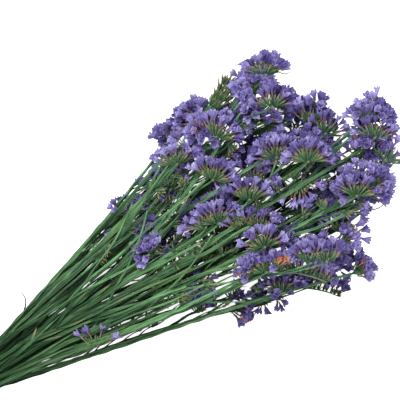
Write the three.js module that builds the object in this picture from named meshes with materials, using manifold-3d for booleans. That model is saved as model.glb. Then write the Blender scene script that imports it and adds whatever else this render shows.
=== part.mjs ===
// A bunch of dried statice (Limonium sinuatum) lying on a table, in millimetres, +Z up.
// Winged green stems are bound by a twine tie and fan out from it. Each stem ends in a fork, and from
// the fork curved ribs carry one-sided combs of green spikelets, each with a papery violet calyx like a
// small funnel. The model is laid out from the tie (x 0), with the stems running to +X, and is then
// moved so that its origin is the middle of its bounding box, at table level.
import * as THREE from "three";
import { mergeVertices } from "three/addons/utils/BufferGeometryUtils.js";
import Module from "manifold-3d";

const wasm = await Module();
wasm.setup();

// ---- driving dimensions, mm and degrees ----
const BUTT_X = -88; // the cut ends, behind the tie
const SPRING = 25; // how gently a stem springs out of the tie
const STEM_PITCH = { y: 4.35, z: 4.95 }; // spacing of the stems inside the tie, where they nearly touch
const FIRST_STEM_Z = 5.35; // height of the lowest stems inside the tie
const BUTT_FLARE = 0.006; // how much the cut ends open out to the sides, per mm,
const BUTT_RISE = 0.8; // and which share of that they open upwards
const WOBBLE = { side: 2.2, up: 1.1, wave: 260 }; // how far a stem wanders, and over what length
const WING_RADIUS = 2.5; // tip of a stem's wings in the tie
const WING_SWELL = 0.5; // how much wider they get half way up, as a share,
const WING_TAPER = 0.3; // and how much narrower at the fork
const WAIST = 0.48; // the hollow between two wings, as a share of the wing radius
const STEM_RINGS = [BUTT_X, -5, 5, 30, 80]; // x of a stem's rings where it bends the most,
const STEM_STEPS = 4; // and equal steps from the last of them to the fork
const TIP = 8; // the length of stem that gives the way it is going

const KNOB_RADIUS = 4.6; // the swollen fork
const RIB_RADIUS = 1.3;
const COMB_THICKNESS = 2.4;
const COMB_START = 2.5; // a comb begins this far from the fork, inside the knob
const COMB_END = 0.4; // and ends this share of a step past its last calyx
const COMB_BEND = 0.9; // radians between two corners of its back
const SPIKELET = { length: 8.5, base: 2.4 };
const CALYX = { gap: 0.35, length: 10, throat: 1.4, rim: 8.6, hollow: 5.5, lobes: 5 };
const CALYX_FOOT = SPIKELET.length + CALYX.gap; // heights above the rib
const RIM_HEIGHT = CALYX_FOOT + CALYX.length;
const CALYX_PITCH = 12.4; // spacing of the calyxes along their rims

// Between two calyxes of a rib their rims join in a saddle: its half width as a share of the rim, and its top
// and underside measured from the rim. The band that they make starts and ends at these shares of a step.
const SADDLE = { width: 0.66, top: 0.2, under: -2.4 };
const RIB_GAP = 0.3; // half the air between the bands of two ribs
const BAND = { start: 0.3, end: 0.42, endWidth: 0.45, least: 0.8, lean: 3 };

const GAP = 0.35; // least air between one spray and the next
const LOWEST = -1.2; // how far a calyx may reach into the table before it is left out
const SLIVER = 0.16; // faces that stray less than this are merged

// A side head, and its branch: how far it goes forward and aside, and bows, as shares of its length.
const SIDE_HEAD = { spread: 180, radius: 7 };
const BRANCH = { forward: 0.92, aside: 0.3, bow: 0.06 };
const SPRIG_SIZE = 0.7; // the flower of a sprig, as a share of a head's

// The twine of the tie. Its turns lie side by side, with ridges and grooves on the outside, in shares of its
// radius. The knot is a flattened ball, and each tail rises from it and runs out.
const TWINE = { radius: 1.25, clearance: 0.45, steps: 24, turns: 3, pitch: 1.8, ridge: 0.45, groove: 0.4 };
const KNOT = { radius: 2.9, wide: 1.3, high: 0.8, y: 2 };
const TAIL = { length: 20, bend: 0.45, aside: [0.25, 0.45], rise: [2, 1.5], thick: 1.1 };

// The layers of the bunch, from the top one down, each with how fast it climbs away from the table, and
// its sprays from the left edge (+Y) to the right. A spray's fork lies at reach (x) and side (y), and its
// stem bows to the left by bow. Its flowers look towards face (from +X, in plan) and lift (above the
// table). It has so many ribs, fanned over spread, each with so many florets and bent to such a radius:
// [reach, side, bow, face, lift, ribs, spread, florets, radius].
const LAYERS = [
  {
    climb: 0.175,
    sprays: [
      [341, 96, 0, 70, 55, 6, 290, 2, 8],
      [405, 106, -25, 100, 40, 5, 230, 2, 7],
      [414, 20, 0, 60, 5, 3, 200, 4, 7],
      [475, 6, 0, 50, 35, 5, 240, 2, 8],
      [447, -33, 0, 55, 10, 3, 180, 3, 6],
      [318, -50, 0, 65, 10, 1, 0, 6, 130],
    ],
  },
  {
    climb: 0.13,
    sprays: [
      [339, 113, 0, 105, 5, 3, 170, 2, 7],
      [422, 119, 0, 60, 5, 3, 180, 2, 7],
      [415, 87, 0, 20, 20, 4, 210, 2, 7],
      [286, 19, 0, 100, 25, 1, 0, 5, 65],
      [314, 2, 0, 65, 25, 1, 0, 3, 90],
      [414, -32, 0, 55, 50, 4, 240, 1, 8],
      [402, -65, 0, 0, 25, 4, 200, 1, 8],
    ],
  },
  {
    climb: 0.085,
    sprays: [
      [307, 108, 0, 70, 15, 3, 170, 1, 7],
      [299, 84, 0, 60, 15, 4, 200, 1, 7],
      [393, 88, 0, 110, 40, 5, 240, 1, 8],
      [441, 54, 0, 35, 10, 4, 200, 2, 7],
      [351, -38, 0, 55, 35, 4, 220, 1, 7],
      [401, -96, 0, 5, 30, 4, 200, 1, 8],
    ],
  },
  {
    climb: 0.04,
    sprays: [
      [383, 115, 0, 85, 15, 3, 150, 1, 6],
      [324, 65, 0, -15, 15, 3, 180, 2, 6],
      [428, 21, 0, -5, 20, 3, 180, 2, 7],
      [287, -8, 0, 30, 35, 4, 200, 1, 7],
      [383, -25, 0, 65, 35, 4, 220, 1, 8],
      [332, -75, 12, 65, 35, 1, 0, 5, 90],
      [276, -67, 0, -40, 20, 3, 180, 1, 7],
    ],
  },
];

// Small side heads lower down a stem:
// [spray, where it leaves the stem, length of its branch, face, lift, ribs, florets].
const SIDE_HEADS = [
  [3, 350, 44, 65, 5, 3, 2],
  [4, 404, 80, 55, 20, 4, 2],
  [5, 402, 50, 10, 45, 4, 2],
  [16, 232, 20, 110, 20, 3, 1],
  [10, 188, 55, 120, 60, 3, 1],
  [26, 210, 34, 60, 35, 3, 1],
  [6, 296, 20, 110, 60, 4, 1],
];

// Small sprigs on thin branches: [spray, where it leaves the stem, length of its branch, face, lift].
const SPRIGS = [
  [14, 250, 24, -50, 30],
  [15, 250, 20, 105, 20],
  [15, 246, 22, 30, 30],
  [15, 244, 22, -90, 20],
  [21, 300, 24, -90, 20],
  [10, 192, 26, 70, 30],
  [18, 232, 26, 80, 20],
  [11, 222, 24, 80, 20],
  [16, 184, 24, 90, 20],
  [26, 118, 24, 70, 30],
  [4, 350, 24, 80, 30],
  [17, 408, 24, 50, 20],
  [16, 366, 24, -30, 30],
  [2, 346, 24, 80, 30],
  [2, 354, 24, -80, 30],
  [17, 334, 24, 90, 20],
  [17, 354, 24, -90, 30],
  [5, 412, 24, -80, 20],
  [13, 380, 22, -100, 20],
  [25, 302, 22, -100, 20],
  [25, 286, 26, -110, 20],
  [16, 218, 24, 110, 30],
];
// The spray whose flowers are still green buds. They are joined to its stem.
const BUD = 20;

// ---- small helpers ----
const rad = THREE.MathUtils.degToRad;
const Z = new THREE.Vector3(0, 0, 1);
const Y = new THREE.Vector3(0, 1, 0);
const X = new THREE.Vector3(1, 0, 0);
// a number from 0 to 1 that looks random but is always the same for one n
const draw = (n) => {
  const v = Math.sin(n * 127.1 + 311.7) * 43758.5453;
  return v - Math.floor(v);
};
const keyOf = (owner, rib) => 100 * owner + 10 * rib;
const pad = (n) => String(n).padStart(2, "0");
const stemName = (number) => `stem_${pad(number)}`;
const direction = (face, lift) =>
  new THREE.Vector3(
    Math.cos(rad(face)) * Math.cos(rad(lift)),
    Math.sin(rad(face)) * Math.cos(rad(lift)),
    Math.sin(rad(lift)),
  );

// A closed geometry as a solid that can be joined and cut.
function solid(geometry) {
  const bare = new THREE.BufferGeometry().setAttribute("position", geometry.getAttribute("position"));
  if (geometry.index) bare.setIndex(geometry.index);
  const merged = mergeVertices(bare, 1e-4);
  const triVerts = new Uint32Array(merged.index.array);
  return new wasm.Manifold(
    new wasm.Mesh({ numProp: 3, vertProperties: merged.attributes.position.array, triVerts }),
  );
}

function geometryOf(manifold) {
  const mesh = manifold.getMesh();
  const positions = new Float32Array(mesh.numVert * 3);
  for (let i = 0; i < mesh.numVert; i++) {
    positions.set(mesh.vertProperties.subarray(i * mesh.numProp, i * mesh.numProp + 3), i * 3);
  }
  return new THREE.BufferGeometry()
    .setAttribute("position", new THREE.BufferAttribute(positions, 3))
    .setIndex(new THREE.BufferAttribute(mesh.triVerts, 1));
}

// A tube: a ring of the outline round each point of the route, sized by size(number of the point), turned
// so that the outline's first axis is square to the reference. Its ends are fans, or it closes on itself.
function tube(route, outline, size, reference, closed = false) {
  const n = route.length;
  const m = outline.length;
  const positions = [];
  const index = [];
  route.forEach((point, i) => {
    const before = closed ? route[(i + n - 1) % n] : route[Math.max(i - 1, 0)];
    const after = closed ? route[(i + 1) % n] : route[Math.min(i + 1, n - 1)];
    const tangent = after.clone().sub(before).normalize();
    const a = reference.clone().cross(tangent).normalize();
    const b = tangent.clone().cross(a);
    const k = size(i);
    for (const { x, y } of outline) {
      positions.push(...point.clone().addScaledVector(a, x * k).addScaledVector(b, y * k).toArray());
    }
  });
  const rings = closed ? n : n - 1;
  for (let i = 0; i < rings; i++) {
    for (let j = 0; j < m; j++) {
      const [p, q] = [i * m + j, i * m + ((j + 1) % m)];
      const [r, s] = [((i + 1) % n) * m + j, ((i + 1) % n) * m + ((j + 1) % m)];
      index.push(p, q, s, p, s, r);
    }
  }
  if (!closed) {
    const start = positions.length / 3;
    positions.push(...route[0].toArray(), ...route[n - 1].toArray());
    const last = (n - 1) * m;
    for (let j = 0; j < m; j++) {
      index.push(start, (j + 1) % m, j, start + 1, last + j, last + ((j + 1) % m));
    }
  }
  return new THREE.BufferGeometry()
    .setAttribute("position", new THREE.Float32BufferAttribute(positions, 3))
    .setIndex(index);
}

const polygon = (corners, radiusOf) =>
  Array.from({ length: corners }, (_, i) => {
    const angle = (2 * Math.PI * i) / corners;
    return new THREE.Vector2(Math.cos(angle), Math.sin(angle)).multiplyScalar(radiusOf(i));
  });

// ---- stems ----
const spring = (x) => Math.hypot(x, SPRING) - SPRING;

const sprays = LAYERS.flatMap(({ climb, sprays: rows }, layer) =>
  rows.map(([reach, side, bow, face, lift, ribs, spread, florets, radius], i) => ({
    reach,
    side,
    bow,
    climb,
    ribs,
    spread,
    florets,
    radius,
    facing: direction(face, lift),
    slotY: ((rows.length - 1) / 2 - i) * STEM_PITCH.y,
    slotZ: FIRST_STEM_Z + (LAYERS.length - 1 - layer) * STEM_PITCH.z,
  })),
);
sprays.forEach((spray, i) => {
  spray.number = i + 1;
});

// Where a stem's centreline is at x. Behind the tie the stems open out a little.
function stemPoint(spray, x) {
  const away = spring(x);
  if (x < 0) {
    const open = 1 + BUTT_FLARE * away;
    const rise = 1 + BUTT_RISE * (open - 1);
    return new THREE.Vector3(x, spray.slotY * open, spray.slotZ * rise);
  }
  const share = away / spring(spray.reach);
  const sway = share * Math.sin(2 * Math.PI * (x / WOBBLE.wave + draw(spray.number)));
  const aside = (spray.side - spray.slotY) * share + spray.bow * Math.sin(Math.PI * Math.min(share, 1));
  return new THREE.Vector3(
    x,
    spray.slotY + aside + WOBBLE.side * sway,
    spray.slotZ + spray.climb * away + WOBBLE.up * sway,
  );
}

const wingSection = polygon(6, (i) => (i % 2 ? WAIST : 1));
// the reach of the wings at a share of the way from the tie to the fork
const wingSize = (share) =>
  WING_RADIUS * (1 + WING_SWELL * Math.sin(Math.PI * share) ** 2 - WING_TAPER * share ** 4);

function stem(spray) {
  const last = STEM_RINGS[STEM_RINGS.length - 1];
  const step = (spray.reach - last) / STEM_STEPS;
  const rings = [...STEM_RINGS, ...Array.from({ length: STEM_STEPS }, (_, i) => last + step * (i + 1))];
  const route = rings.map((x) => stemPoint(spray, x));
  return solid(tube(route, wingSection, (i) => wingSize(Math.max(rings[i], 0) / spray.reach), Z));
}

// ---- heads ----
// The ribs of a head, as functions of the distance run from the fork. They leave it square to the facing,
// fanned about the way down to the table, and curve away from the facing. A single rib leaves to the
// right of the facing.
function ribsOf({ fork, facing, ribs, spread, florets, radius }) {
  const down = Z.clone().negate().addScaledVector(facing, facing.z).normalize();
  const across = down.clone().cross(facing);
  return Array.from({ length: ribs }, (_, i) => {
    const turn = rad(ribs > 1 ? spread * (i / (ribs - 1) - 0.5) : 90);
    const out = down.clone().multiplyScalar(Math.cos(turn)).addScaledVector(across, Math.sin(turn));
    const flat = out.clone().cross(facing);
    const point = (s) =>
      fork
        .clone()
        .addScaledVector(out, radius * Math.sin(s / radius))
        .addScaledVector(facing, radius * (Math.cos(s / radius) - 1));
    const normal = (s) =>
      facing
        .clone()
        .multiplyScalar(Math.cos(s / radius))
        .addScaledVector(out, Math.sin(s / radius));
    const step = CALYX_PITCH / (1 + RIM_HEIGHT / radius);
    // half the width that the calyxes may have at s before they meet those of the next rib
    const wedge = ribs > 1 ? Math.tan(rad((0.5 * spread) / (ribs - 1))) : Infinity;
    const room = (s) => wedge * (radius + RIM_HEIGHT) * Math.sin(s / radius) - RIB_GAP;
    return { point, normal, out, facing, flat, radius, florets, step, room };
  });
}

// What has been placed so far. Two pieces keep apart unless they are of one node, and so will be joined.
const placed = [];

function put(made, node) {
  placed.push({ solid: made, box: made.boundingBox(), node });
}

function fits(made, node) {
  const { min, max } = made.boundingBox();
  const near = ({ box }) => [0, 1, 2].every((k) => box.min[k] - GAP < max[k] && min[k] < box.max[k] + GAP);
  return placed
    .filter((other) => other.node !== node)
    .every((other) => !near(other) || made.minGap(other.solid, GAP) >= GAP);
}

// The spikelet at the middle of a head, and its calyx: a funnel with a hollow top.
function spikelet(root, out, size = 1) {
  const { length, base } = SPIKELET;
  const shape = new THREE.ConeGeometry(base, length, 3).translate(0, length / 2, 0).scale(size, size, size);
  shape.applyQuaternion(new THREE.Quaternion().setFromUnitVectors(Y, out));
  return solid(shape.translate(root.x, root.y, root.z));
}

function calyx(root, out, turn, size = 1) {
  const { length, throat, rim, hollow, lobes } = CALYX;
  const shape = new THREE.CylinderGeometry(rim, throat, length, lobes);
  const position = shape.attributes.position;
  for (let i = 0; i < position.count; i++) {
    const onAxis = Math.hypot(position.getX(i), position.getZ(i)) < 1e-6;
    if (onAxis && position.getY(i) > 0) position.setY(i, length / 2 - hollow);
  }
  shape.rotateY(turn).translate(0, CALYX_FOOT + length / 2, 0).scale(size, size, size);
  shape.applyQuaternion(new THREE.Quaternion().setFromUnitVectors(Y, out));
  return solid(shape.translate(root.x, root.y, root.z));
}

// The green comb of a rib: its curved back, and a tooth under each calyx.
function comb(rib, count) {
  const { radius, step } = rib;
  const { length } = SPIKELET;
  const at = (s, r) => new THREE.Vector2(r * Math.sin(s / radius), r * Math.cos(s / radius));
  const end = (count + COMB_END) * step;
  const points = [at(COMB_START, radius - RIB_RADIUS), at(COMB_START, radius + RIB_RADIUS)];
  for (let i = 1; i <= count; i++) {
    if (i > 1) points.push(at((i - 0.5) * step, radius + RIB_RADIUS));
    points.push(at(i * step, radius + length));
  }
  points.push(at(end, radius));
  const backs = Math.max(1, Math.round(end / radius / COMB_BEND));
  for (let i = 0; i < backs; i++) {
    points.push(at(COMB_START + (end - COMB_START) * (1 - i / backs), radius - RIB_RADIUS));
  }
  const plate = new THREE.ExtrudeGeometry(new THREE.Shape(points.reverse()), {
    depth: COMB_THICKNESS,
    bevelEnabled: false,
  });
  plate.translate(0, 0, -COMB_THICKNESS / 2);
  const centre = rib.point(0).addScaledVector(rib.facing, -radius);
  plate.applyMatrix4(new THREE.Matrix4().makeBasis(rib.out, rib.facing, rib.flat).setPosition(centre));
  return solid(plate);
}

// The calyxes of a rib, as one ruffled band of funnels that share their rims. Its sections lie across the
// rib, one through the middle of each calyx and one in the saddle between every two: a rim point, the
// hollow, the other rim point and the point below. Between two sections each face is split from the
// calyx's middle to the saddle's rim, alike above and below. The band leans a little from side to side.
function ruffle(rib, count, key) {
  const { rim, hollow } = CALYX;
  const positions = [];
  const index = [];
  const section = (s, wide, middle, below, lean) => {
    const width = Math.max(BAND.least, Math.min(wide, rib.room(s)));
    const rimLine = rib.point(s).addScaledVector(rib.normal(s), RIM_HEIGHT);
    const at = (x, y) => {
      const corner = rimLine.clone().addScaledVector(rib.flat, x).addScaledVector(rib.normal(s), y);
      positions.push(...corner.toArray());
    };
    at(-width, lean);
    at(0, middle);
    at(width, -lean);
    at(0, below);
  };
  for (let i = 0; i <= count; i++) {
    const lean = BAND.lean * (draw(key + i) - 0.5);
    const place = i === 0 ? BAND.start : i === count ? count + BAND.end : i + 0.5;
    const width = i === count ? BAND.endWidth : SADDLE.width;
    section(place * rib.step, rim * width, SADDLE.top, SADDLE.under, lean / 2);
    if (i < count) section((i + 1) * rib.step, rim, -hollow, -CALYX.length, lean);
  }
  for (let i = 0; i < 2 * count; i++) {
    for (let j = 0; j < 4; j++) {
      const [p, q] = [4 * i + j, 4 * i + ((j + 1) % 4)];
      if ((i + j) % 2) index.push(p, q, p + 4, q, q + 4, p + 4);
      else index.push(p, q, q + 4, p, q + 4, p + 4);
    }
  }
  const last = 8 * count;
  index.push(1, 0, 3, 1, 3, 2, last, last + 1, last + 3, last + 1, last + 2, last + 3);
  const band = new THREE.BufferGeometry()
    .setAttribute("position", new THREE.Float32BufferAttribute(positions, 3))
    .setIndex(index);
  return solid(band);
}

// Adds a green and a violet piece to a head, if there is room for both.
function place(head, green, violet) {
  if (violet.boundingBox().min[2] < LOWEST) return false;
  if (!fits(green, head.stem) || !fits(violet, head.flowers)) return false;
  put(green, head.stem);
  put(violet, head.flowers);
  head.greens.push(green);
  head.violets.push(violet);
  return true;
}

// A head starts as its knob, with the calyx at its middle,
function startHead(spec, owner, flowers) {
  const head = { spec, owner, stem: stemName(owner), flowers, greens: [], violets: [] };
  const knob = solid(new THREE.OctahedronGeometry(KNOB_RADIUS, 0).translate(...spec.fork.toArray()));
  head.greens.push(knob);
  put(knob, head.stem);
  const turn = 2 * Math.PI * draw(owner);
  place(head, spikelet(spec.fork, spec.facing), calyx(spec.fork, spec.facing, turn));
  return head;
}

// and then gets as much of each rib as there is room for.
function growHead(head) {
  ribsOf(head.spec).forEach((rib, r) => {
    const key = keyOf(head.owner, r);
    let count = rib.florets;
    while (count > 0 && !place(head, comb(rib, count), ruffle(rib, count, key))) count--;
  });
}

function mainHead(spray) {
  const { number, reach } = spray;
  const flowers = number === BUD ? stemName(number) : `flowers_${pad(number)}`;
  return startHead({ ...spray, fork: stemPoint(spray, reach) }, number, flowers);
}

// A thin branch that leaves a stem forwards and bows towards its facing.
function branch(spray, at, length, facing) {
  const { forward, aside, bow } = BRANCH;
  const from = stemPoint(spray, at);
  const along = stemPoint(spray, at + TIP).sub(from).normalize();
  const fork = from.clone().addScaledVector(along, length * forward).addScaledVector(facing, length * aside);
  const middle = from.clone().lerp(fork, 0.5).addScaledVector(facing, length * bow);
  const stalk = solid(tube([from, middle, fork], polygon(3, () => RIB_RADIUS), () => 1, Z));
  return { fork, stalk };
}

function sideHead([number, at, length, face, lift, ribs, florets]) {
  const facing = direction(face, lift);
  const { fork, stalk } = branch(sprays[number - 1], at, length, facing);
  const head = startHead({ fork, facing, ribs, florets, ...SIDE_HEAD }, number, `side_flowers_${pad(number)}`);
  head.greens.push(stalk);
  put(stalk, head.stem);
  return head;
}

// A sprig is one small green bud of a head on a branch. It is left out where there is no room for it.
function sprig([number, at, length, face, lift]) {
  const facing = direction(face, lift);
  const { fork, stalk } = branch(sprays[number - 1], at, length, facing);
  const flower = [spikelet(fork, facing, SPRIG_SIZE), calyx(fork, facing, 0, SPRIG_SIZE)];
  const bud = wasm.Manifold.union([stalk, ...flower]);
  const node = stemName(number);
  if (bud.boundingBox().min[2] < LOWEST || !fits(bud, node)) return;
  put(bud, node);
  sprigs[number - 1].push(bud);
}

// ---- the tie ----
// Twine pulled round the outer stems: in each direction it lies off the stem that stands out the farthest.
// It ends in a knot on top with two tails.
function tie() {
  const { radius, clearance, steps, turns, pitch, ridge, groove } = TWINE;
  const reachOut = WING_RADIUS + clearance + radius;
  const route = Array.from({ length: steps }, (_, i) => {
    const angle = (2 * Math.PI * (i + 0.5)) / steps;
    const [c, s] = [Math.cos(angle), Math.sin(angle)];
    const far = sprays.reduce((a, b) => (b.slotY * c + b.slotZ * s > a.slotY * c + a.slotZ * s ? b : a));
    return new THREE.Vector3(0, far.slotY + reachOut * c, far.slotZ + reachOut * s);
  });
  // The outline's first axis points inwards.
  const half = (turns * pitch) / 2;
  const outline = [new THREE.Vector2(1, -half), new THREE.Vector2(1, half)];
  for (let t = 0; t < turns; t++) {
    const middle = half - (t + 0.5) * pitch;
    outline.push(new THREE.Vector2(-1, middle + ridge), new THREE.Vector2(-1, middle - ridge));
    if (t < turns - 1) outline.push(new THREE.Vector2(-groove, middle - pitch / 2));
  }
  const band = solid(tube(route, outline, () => radius, X, true));

  const top = Math.max(...sprays.map((s) => s.slotZ)) + reachOut + radius;
  const ball = new THREE.IcosahedronGeometry(KNOT.radius, 1).scale(KNOT.wide, 1, KNOT.high);
  const tails = [1, -1].map((way) => {
    const { length, bend, aside, rise, thick } = TAIL;
    const path = [
      new THREE.Vector3(0, KNOT.y, top),
      new THREE.Vector3(way * bend * length, KNOT.y + way * aside[0] * length, top + rise[0]),
      new THREE.Vector3(way * length, KNOT.y + way * aside[1] * length, top + rise[1]),
    ];
    return solid(tube(path, polygon(4, () => thick), () => 1, Z));
  });
  return [band, solid(ball.translate(0, KNOT.y, top)), ...tails];
}

// ---- the bunch ----
const GREEN = new THREE.MeshStandardMaterial({ color: 0x3f7048, roughness: 0.75, metalness: 0 });
const VIOLET = new THREE.MeshStandardMaterial({ color: 0x6c58b4, roughness: 0.8, metalness: 0 });
const JUTE = new THREE.MeshStandardMaterial({ color: 0xa98a5c, roughness: 0.9, metalness: 0 });

const bunch = new THREE.Group();

// Joins the pieces of a node, and levels what would sink into the table into small flat spots. A scrap
// that the levelling cuts loose is dropped.
function add(name, pieces, material) {
  const joined = wasm.Manifold.union(pieces).trimByPlane([0, 0, 1], 0).simplify(SLIVER);
  const whole = joined.decompose().reduce((a, b) => (b.volume() > a.volume() ? b : a));
  const mesh = new THREE.Mesh(geometryOf(whole), material);
  mesh.name = name;
  bunch.add(mesh);
}

const stems = sprays.map(stem);
stems.forEach((made, i) => put(made, stemName(i + 1)));
const mains = sprays.map(mainHead);
const sides = SIDE_HEADS.map(sideHead);
// The heads with the fewest ribs, whose combs are the longest, grow first, and the sprigs come last.
[...mains, ...sides].sort((a, b) => a.spec.ribs - b.spec.ribs).forEach(growHead);
const sprigs = sprays.map(() => []);
SPRIGS.forEach(sprig);
sprays.forEach(({ number }, i) => {
  const branches = sides.filter((side) => side.owner === number).flatMap((side) => side.greens);
  const buds = number === BUD ? mains[i].violets : [];
  add(stemName(number), [stems[i], ...mains[i].greens, ...branches, ...buds, ...sprigs[i]], GREEN);
  if (number !== BUD) add(mains[i].flowers, mains[i].violets, VIOLET);
});
sides.forEach((side) => add(side.flowers, side.violets, VIOLET));
add("tie", tie(), JUTE);

const box = new THREE.Box3().setFromObject(bunch);
const middle = box.getCenter(new THREE.Vector3());
bunch.position.set(-middle.x, -middle.y, -box.min.z);

export default bunch;
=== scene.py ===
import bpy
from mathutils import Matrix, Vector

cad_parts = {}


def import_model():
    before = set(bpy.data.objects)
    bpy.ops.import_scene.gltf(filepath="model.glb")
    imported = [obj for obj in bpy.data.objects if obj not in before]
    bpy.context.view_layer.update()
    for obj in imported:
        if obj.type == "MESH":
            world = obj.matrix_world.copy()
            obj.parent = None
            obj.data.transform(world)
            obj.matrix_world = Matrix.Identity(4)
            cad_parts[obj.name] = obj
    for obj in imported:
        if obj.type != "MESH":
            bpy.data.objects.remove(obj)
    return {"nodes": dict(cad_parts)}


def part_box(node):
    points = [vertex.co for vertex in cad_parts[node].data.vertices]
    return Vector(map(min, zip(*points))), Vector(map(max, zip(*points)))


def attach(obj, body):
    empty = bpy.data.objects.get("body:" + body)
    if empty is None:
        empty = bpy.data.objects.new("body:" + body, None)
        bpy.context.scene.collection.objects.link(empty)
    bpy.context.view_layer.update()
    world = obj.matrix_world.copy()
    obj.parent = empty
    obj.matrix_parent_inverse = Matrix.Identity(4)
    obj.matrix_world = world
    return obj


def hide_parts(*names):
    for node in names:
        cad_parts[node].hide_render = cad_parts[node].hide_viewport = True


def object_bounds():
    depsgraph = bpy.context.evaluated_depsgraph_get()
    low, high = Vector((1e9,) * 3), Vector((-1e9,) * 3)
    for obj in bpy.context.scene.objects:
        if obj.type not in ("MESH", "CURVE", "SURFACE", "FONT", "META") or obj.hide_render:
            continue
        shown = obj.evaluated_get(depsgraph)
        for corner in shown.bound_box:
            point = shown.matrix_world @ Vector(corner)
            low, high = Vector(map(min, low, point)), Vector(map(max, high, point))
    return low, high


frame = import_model()

# A bunch of dried statice lying on a table: winged green stems tied with twine, fanned out to one-sided
# combs of green spikelets, each with a papery violet calyx like a small pleated funnel.
from types import SimpleNamespace

import bpy
import numpy as np
from mathutils import Vector
from mathutils.bvhtree import BVHTree

cad_low, cad_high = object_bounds()
MM = 0.001
rng = np.random.default_rng(7)

# ---- driving dimensions of the bunch, in millimetres and degrees, as in the solids ----
# x runs from the tie to the flowers, y to the left of that way, z up from the table
SPRING = 25  # past the tie, the length in which the stems turn outwards
STEM_PITCH_Y, STEM_PITCH_Z, FIRST_STEM_Z = 4.35, 4.95, 5.35  # the stems' slots in the tie
BUTT_X, BUTT_FLARE, BUTT_RISE = -88, 0.006, 0.8  # where the cut ends lie, and how they open out
WOBBLE_SIDE, WOBBLE_UP, WOBBLE_WAVE = 2.2, 1.1, 260  # how far a stem sways, and over which length
WING_RADIUS, WING_SWELL, WING_TAPER = 2.5, 0.5, 0.3  # the reach of the wings, see wing_size
TIP = 8  # the last stretch of a stem, which gives its head the way it grows
SPIKELET_LENGTH, CALYX_FOOT, RIM_HEIGHT = 8.5, 8.85, 18.85  # heights above a rib
CALYX_PITCH, CALYX_RIM, RIB_GAP = 12.4, 8.6, 0.3  # of the solid calyxes, whose room the fine ones fill
SIDE_SPREAD, SIDE_RADIUS = 180, 7  # of a side head's ribs
BRANCH_FORWARD, BRANCH_ASIDE, BRANCH_BOW = 0.92, 0.3, 0.06  # a side branch's way, as shares of its length

# The layers from the top one down: how fast each climbs, and its sprays from the left edge to the right,
# [reach, side, bow, face, lift, ribs, spread, florets, radius].
LAYERS = [
    (0.175, [
        [341, 96, 0, 70, 55, 6, 290, 2, 8],
        [405, 106, -25, 100, 40, 5, 230, 2, 7],
        [414, 20, 0, 60, 5, 3, 200, 4, 7],
        [475, 6, 0, 50, 35, 5, 240, 2, 8],
        [447, -33, 0, 55, 10, 3, 180, 3, 6],
        [318, -50, 0, 65, 10, 1, 0, 6, 130],
    ]),
    (0.13, [
        [339, 113, 0, 105, 5, 3, 170, 2, 7],
        [422, 119, 0, 60, 5, 3, 180, 2, 7],
        [415, 87, 0, 20, 20, 4, 210, 2, 7],
        [286, 19, 0, 100, 25, 1, 0, 5, 65],
        [314, 2, 0, 65, 25, 1, 0, 3, 90],
        [414, -32, 0, 55, 50, 4, 240, 1, 8],
        [402, -65, 0, 0, 25, 4, 200, 1, 8],
    ]),
    (0.085, [
        [307, 108, 0, 70, 15, 3, 170, 1, 7],
        [299, 84, 0, 60, 15, 4, 200, 1, 7],
        [393, 88, 0, 110, 40, 5, 240, 1, 8],
        [441, 54, 0, 35, 10, 4, 200, 2, 7],
        [351, -38, 0, 55, 35, 4, 220, 1, 7],
        [401, -96, 0, 5, 30, 4, 200, 1, 8],
    ]),
    (0.04, [
        [383, 115, 0, 85, 15, 3, 150, 1, 6],
        [324, 65, 0, -15, 15, 3, 180, 2, 6],
        [428, 21, 0, -5, 20, 3, 180, 2, 7],
        [287, -8, 0, 30, 35, 4, 200, 1, 7],
        [383, -25, 0, 65, 35, 4, 220, 1, 8],
        [332, -75, 12, 65, 35, 1, 0, 5, 90],
        [276, -67, 0, -40, 20, 3, 180, 1, 7],
    ]),
]
# side heads: [spray, where it leaves the stem, length of its branch, face, lift, ribs, florets]
SIDE_HEADS = [
    [3, 350, 44, 65, 5, 3, 2],
    [4, 404, 80, 55, 20, 4, 2],
    [5, 402, 50, 10, 45, 4, 2],
    [16, 232, 20, 110, 20, 3, 1],
    [10, 188, 55, 120, 60, 3, 1],
    [26, 210, 34, 60, 35, 3, 1],
    [6, 296, 20, 110, 60, 4, 1],
]
# sprigs: [spray, where it leaves the stem, length of its branch, face, lift]
SPRIGS = [
    [14, 250, 24, -50, 30],
    [15, 250, 20, 105, 20],
    [15, 246, 22, 30, 30],
    [15, 244, 22, -90, 20],
    [21, 300, 24, -90, 20],
    [10, 192, 26, 70, 30],
    [18, 232, 26, 80, 20],
    [11, 222, 24, 80, 20],
    [16, 184, 24, 90, 20],
    [26, 118, 24, 70, 30],
    [4, 350, 24, 80, 30],
    [17, 408, 24, 50, 20],
    [16, 366, 24, -30, 30],
    [2, 346, 24, 80, 30],
    [2, 354, 24, -80, 30],
    [17, 334, 24, 90, 20],
    [17, 354, 24, -90, 30],
    [5, 412, 24, -80, 20],
    [13, 380, 22, -100, 20],
    [25, 302, 22, -100, 20],
    [25, 286, 26, -110, 20],
    [16, 218, 24, 110, 30],
]

# What grows between the main heads is placed as the camera sees it: by its place right of and below the
# upper left corner of the view, and by its height as a share of the bunch's height there, see seen().

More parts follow.
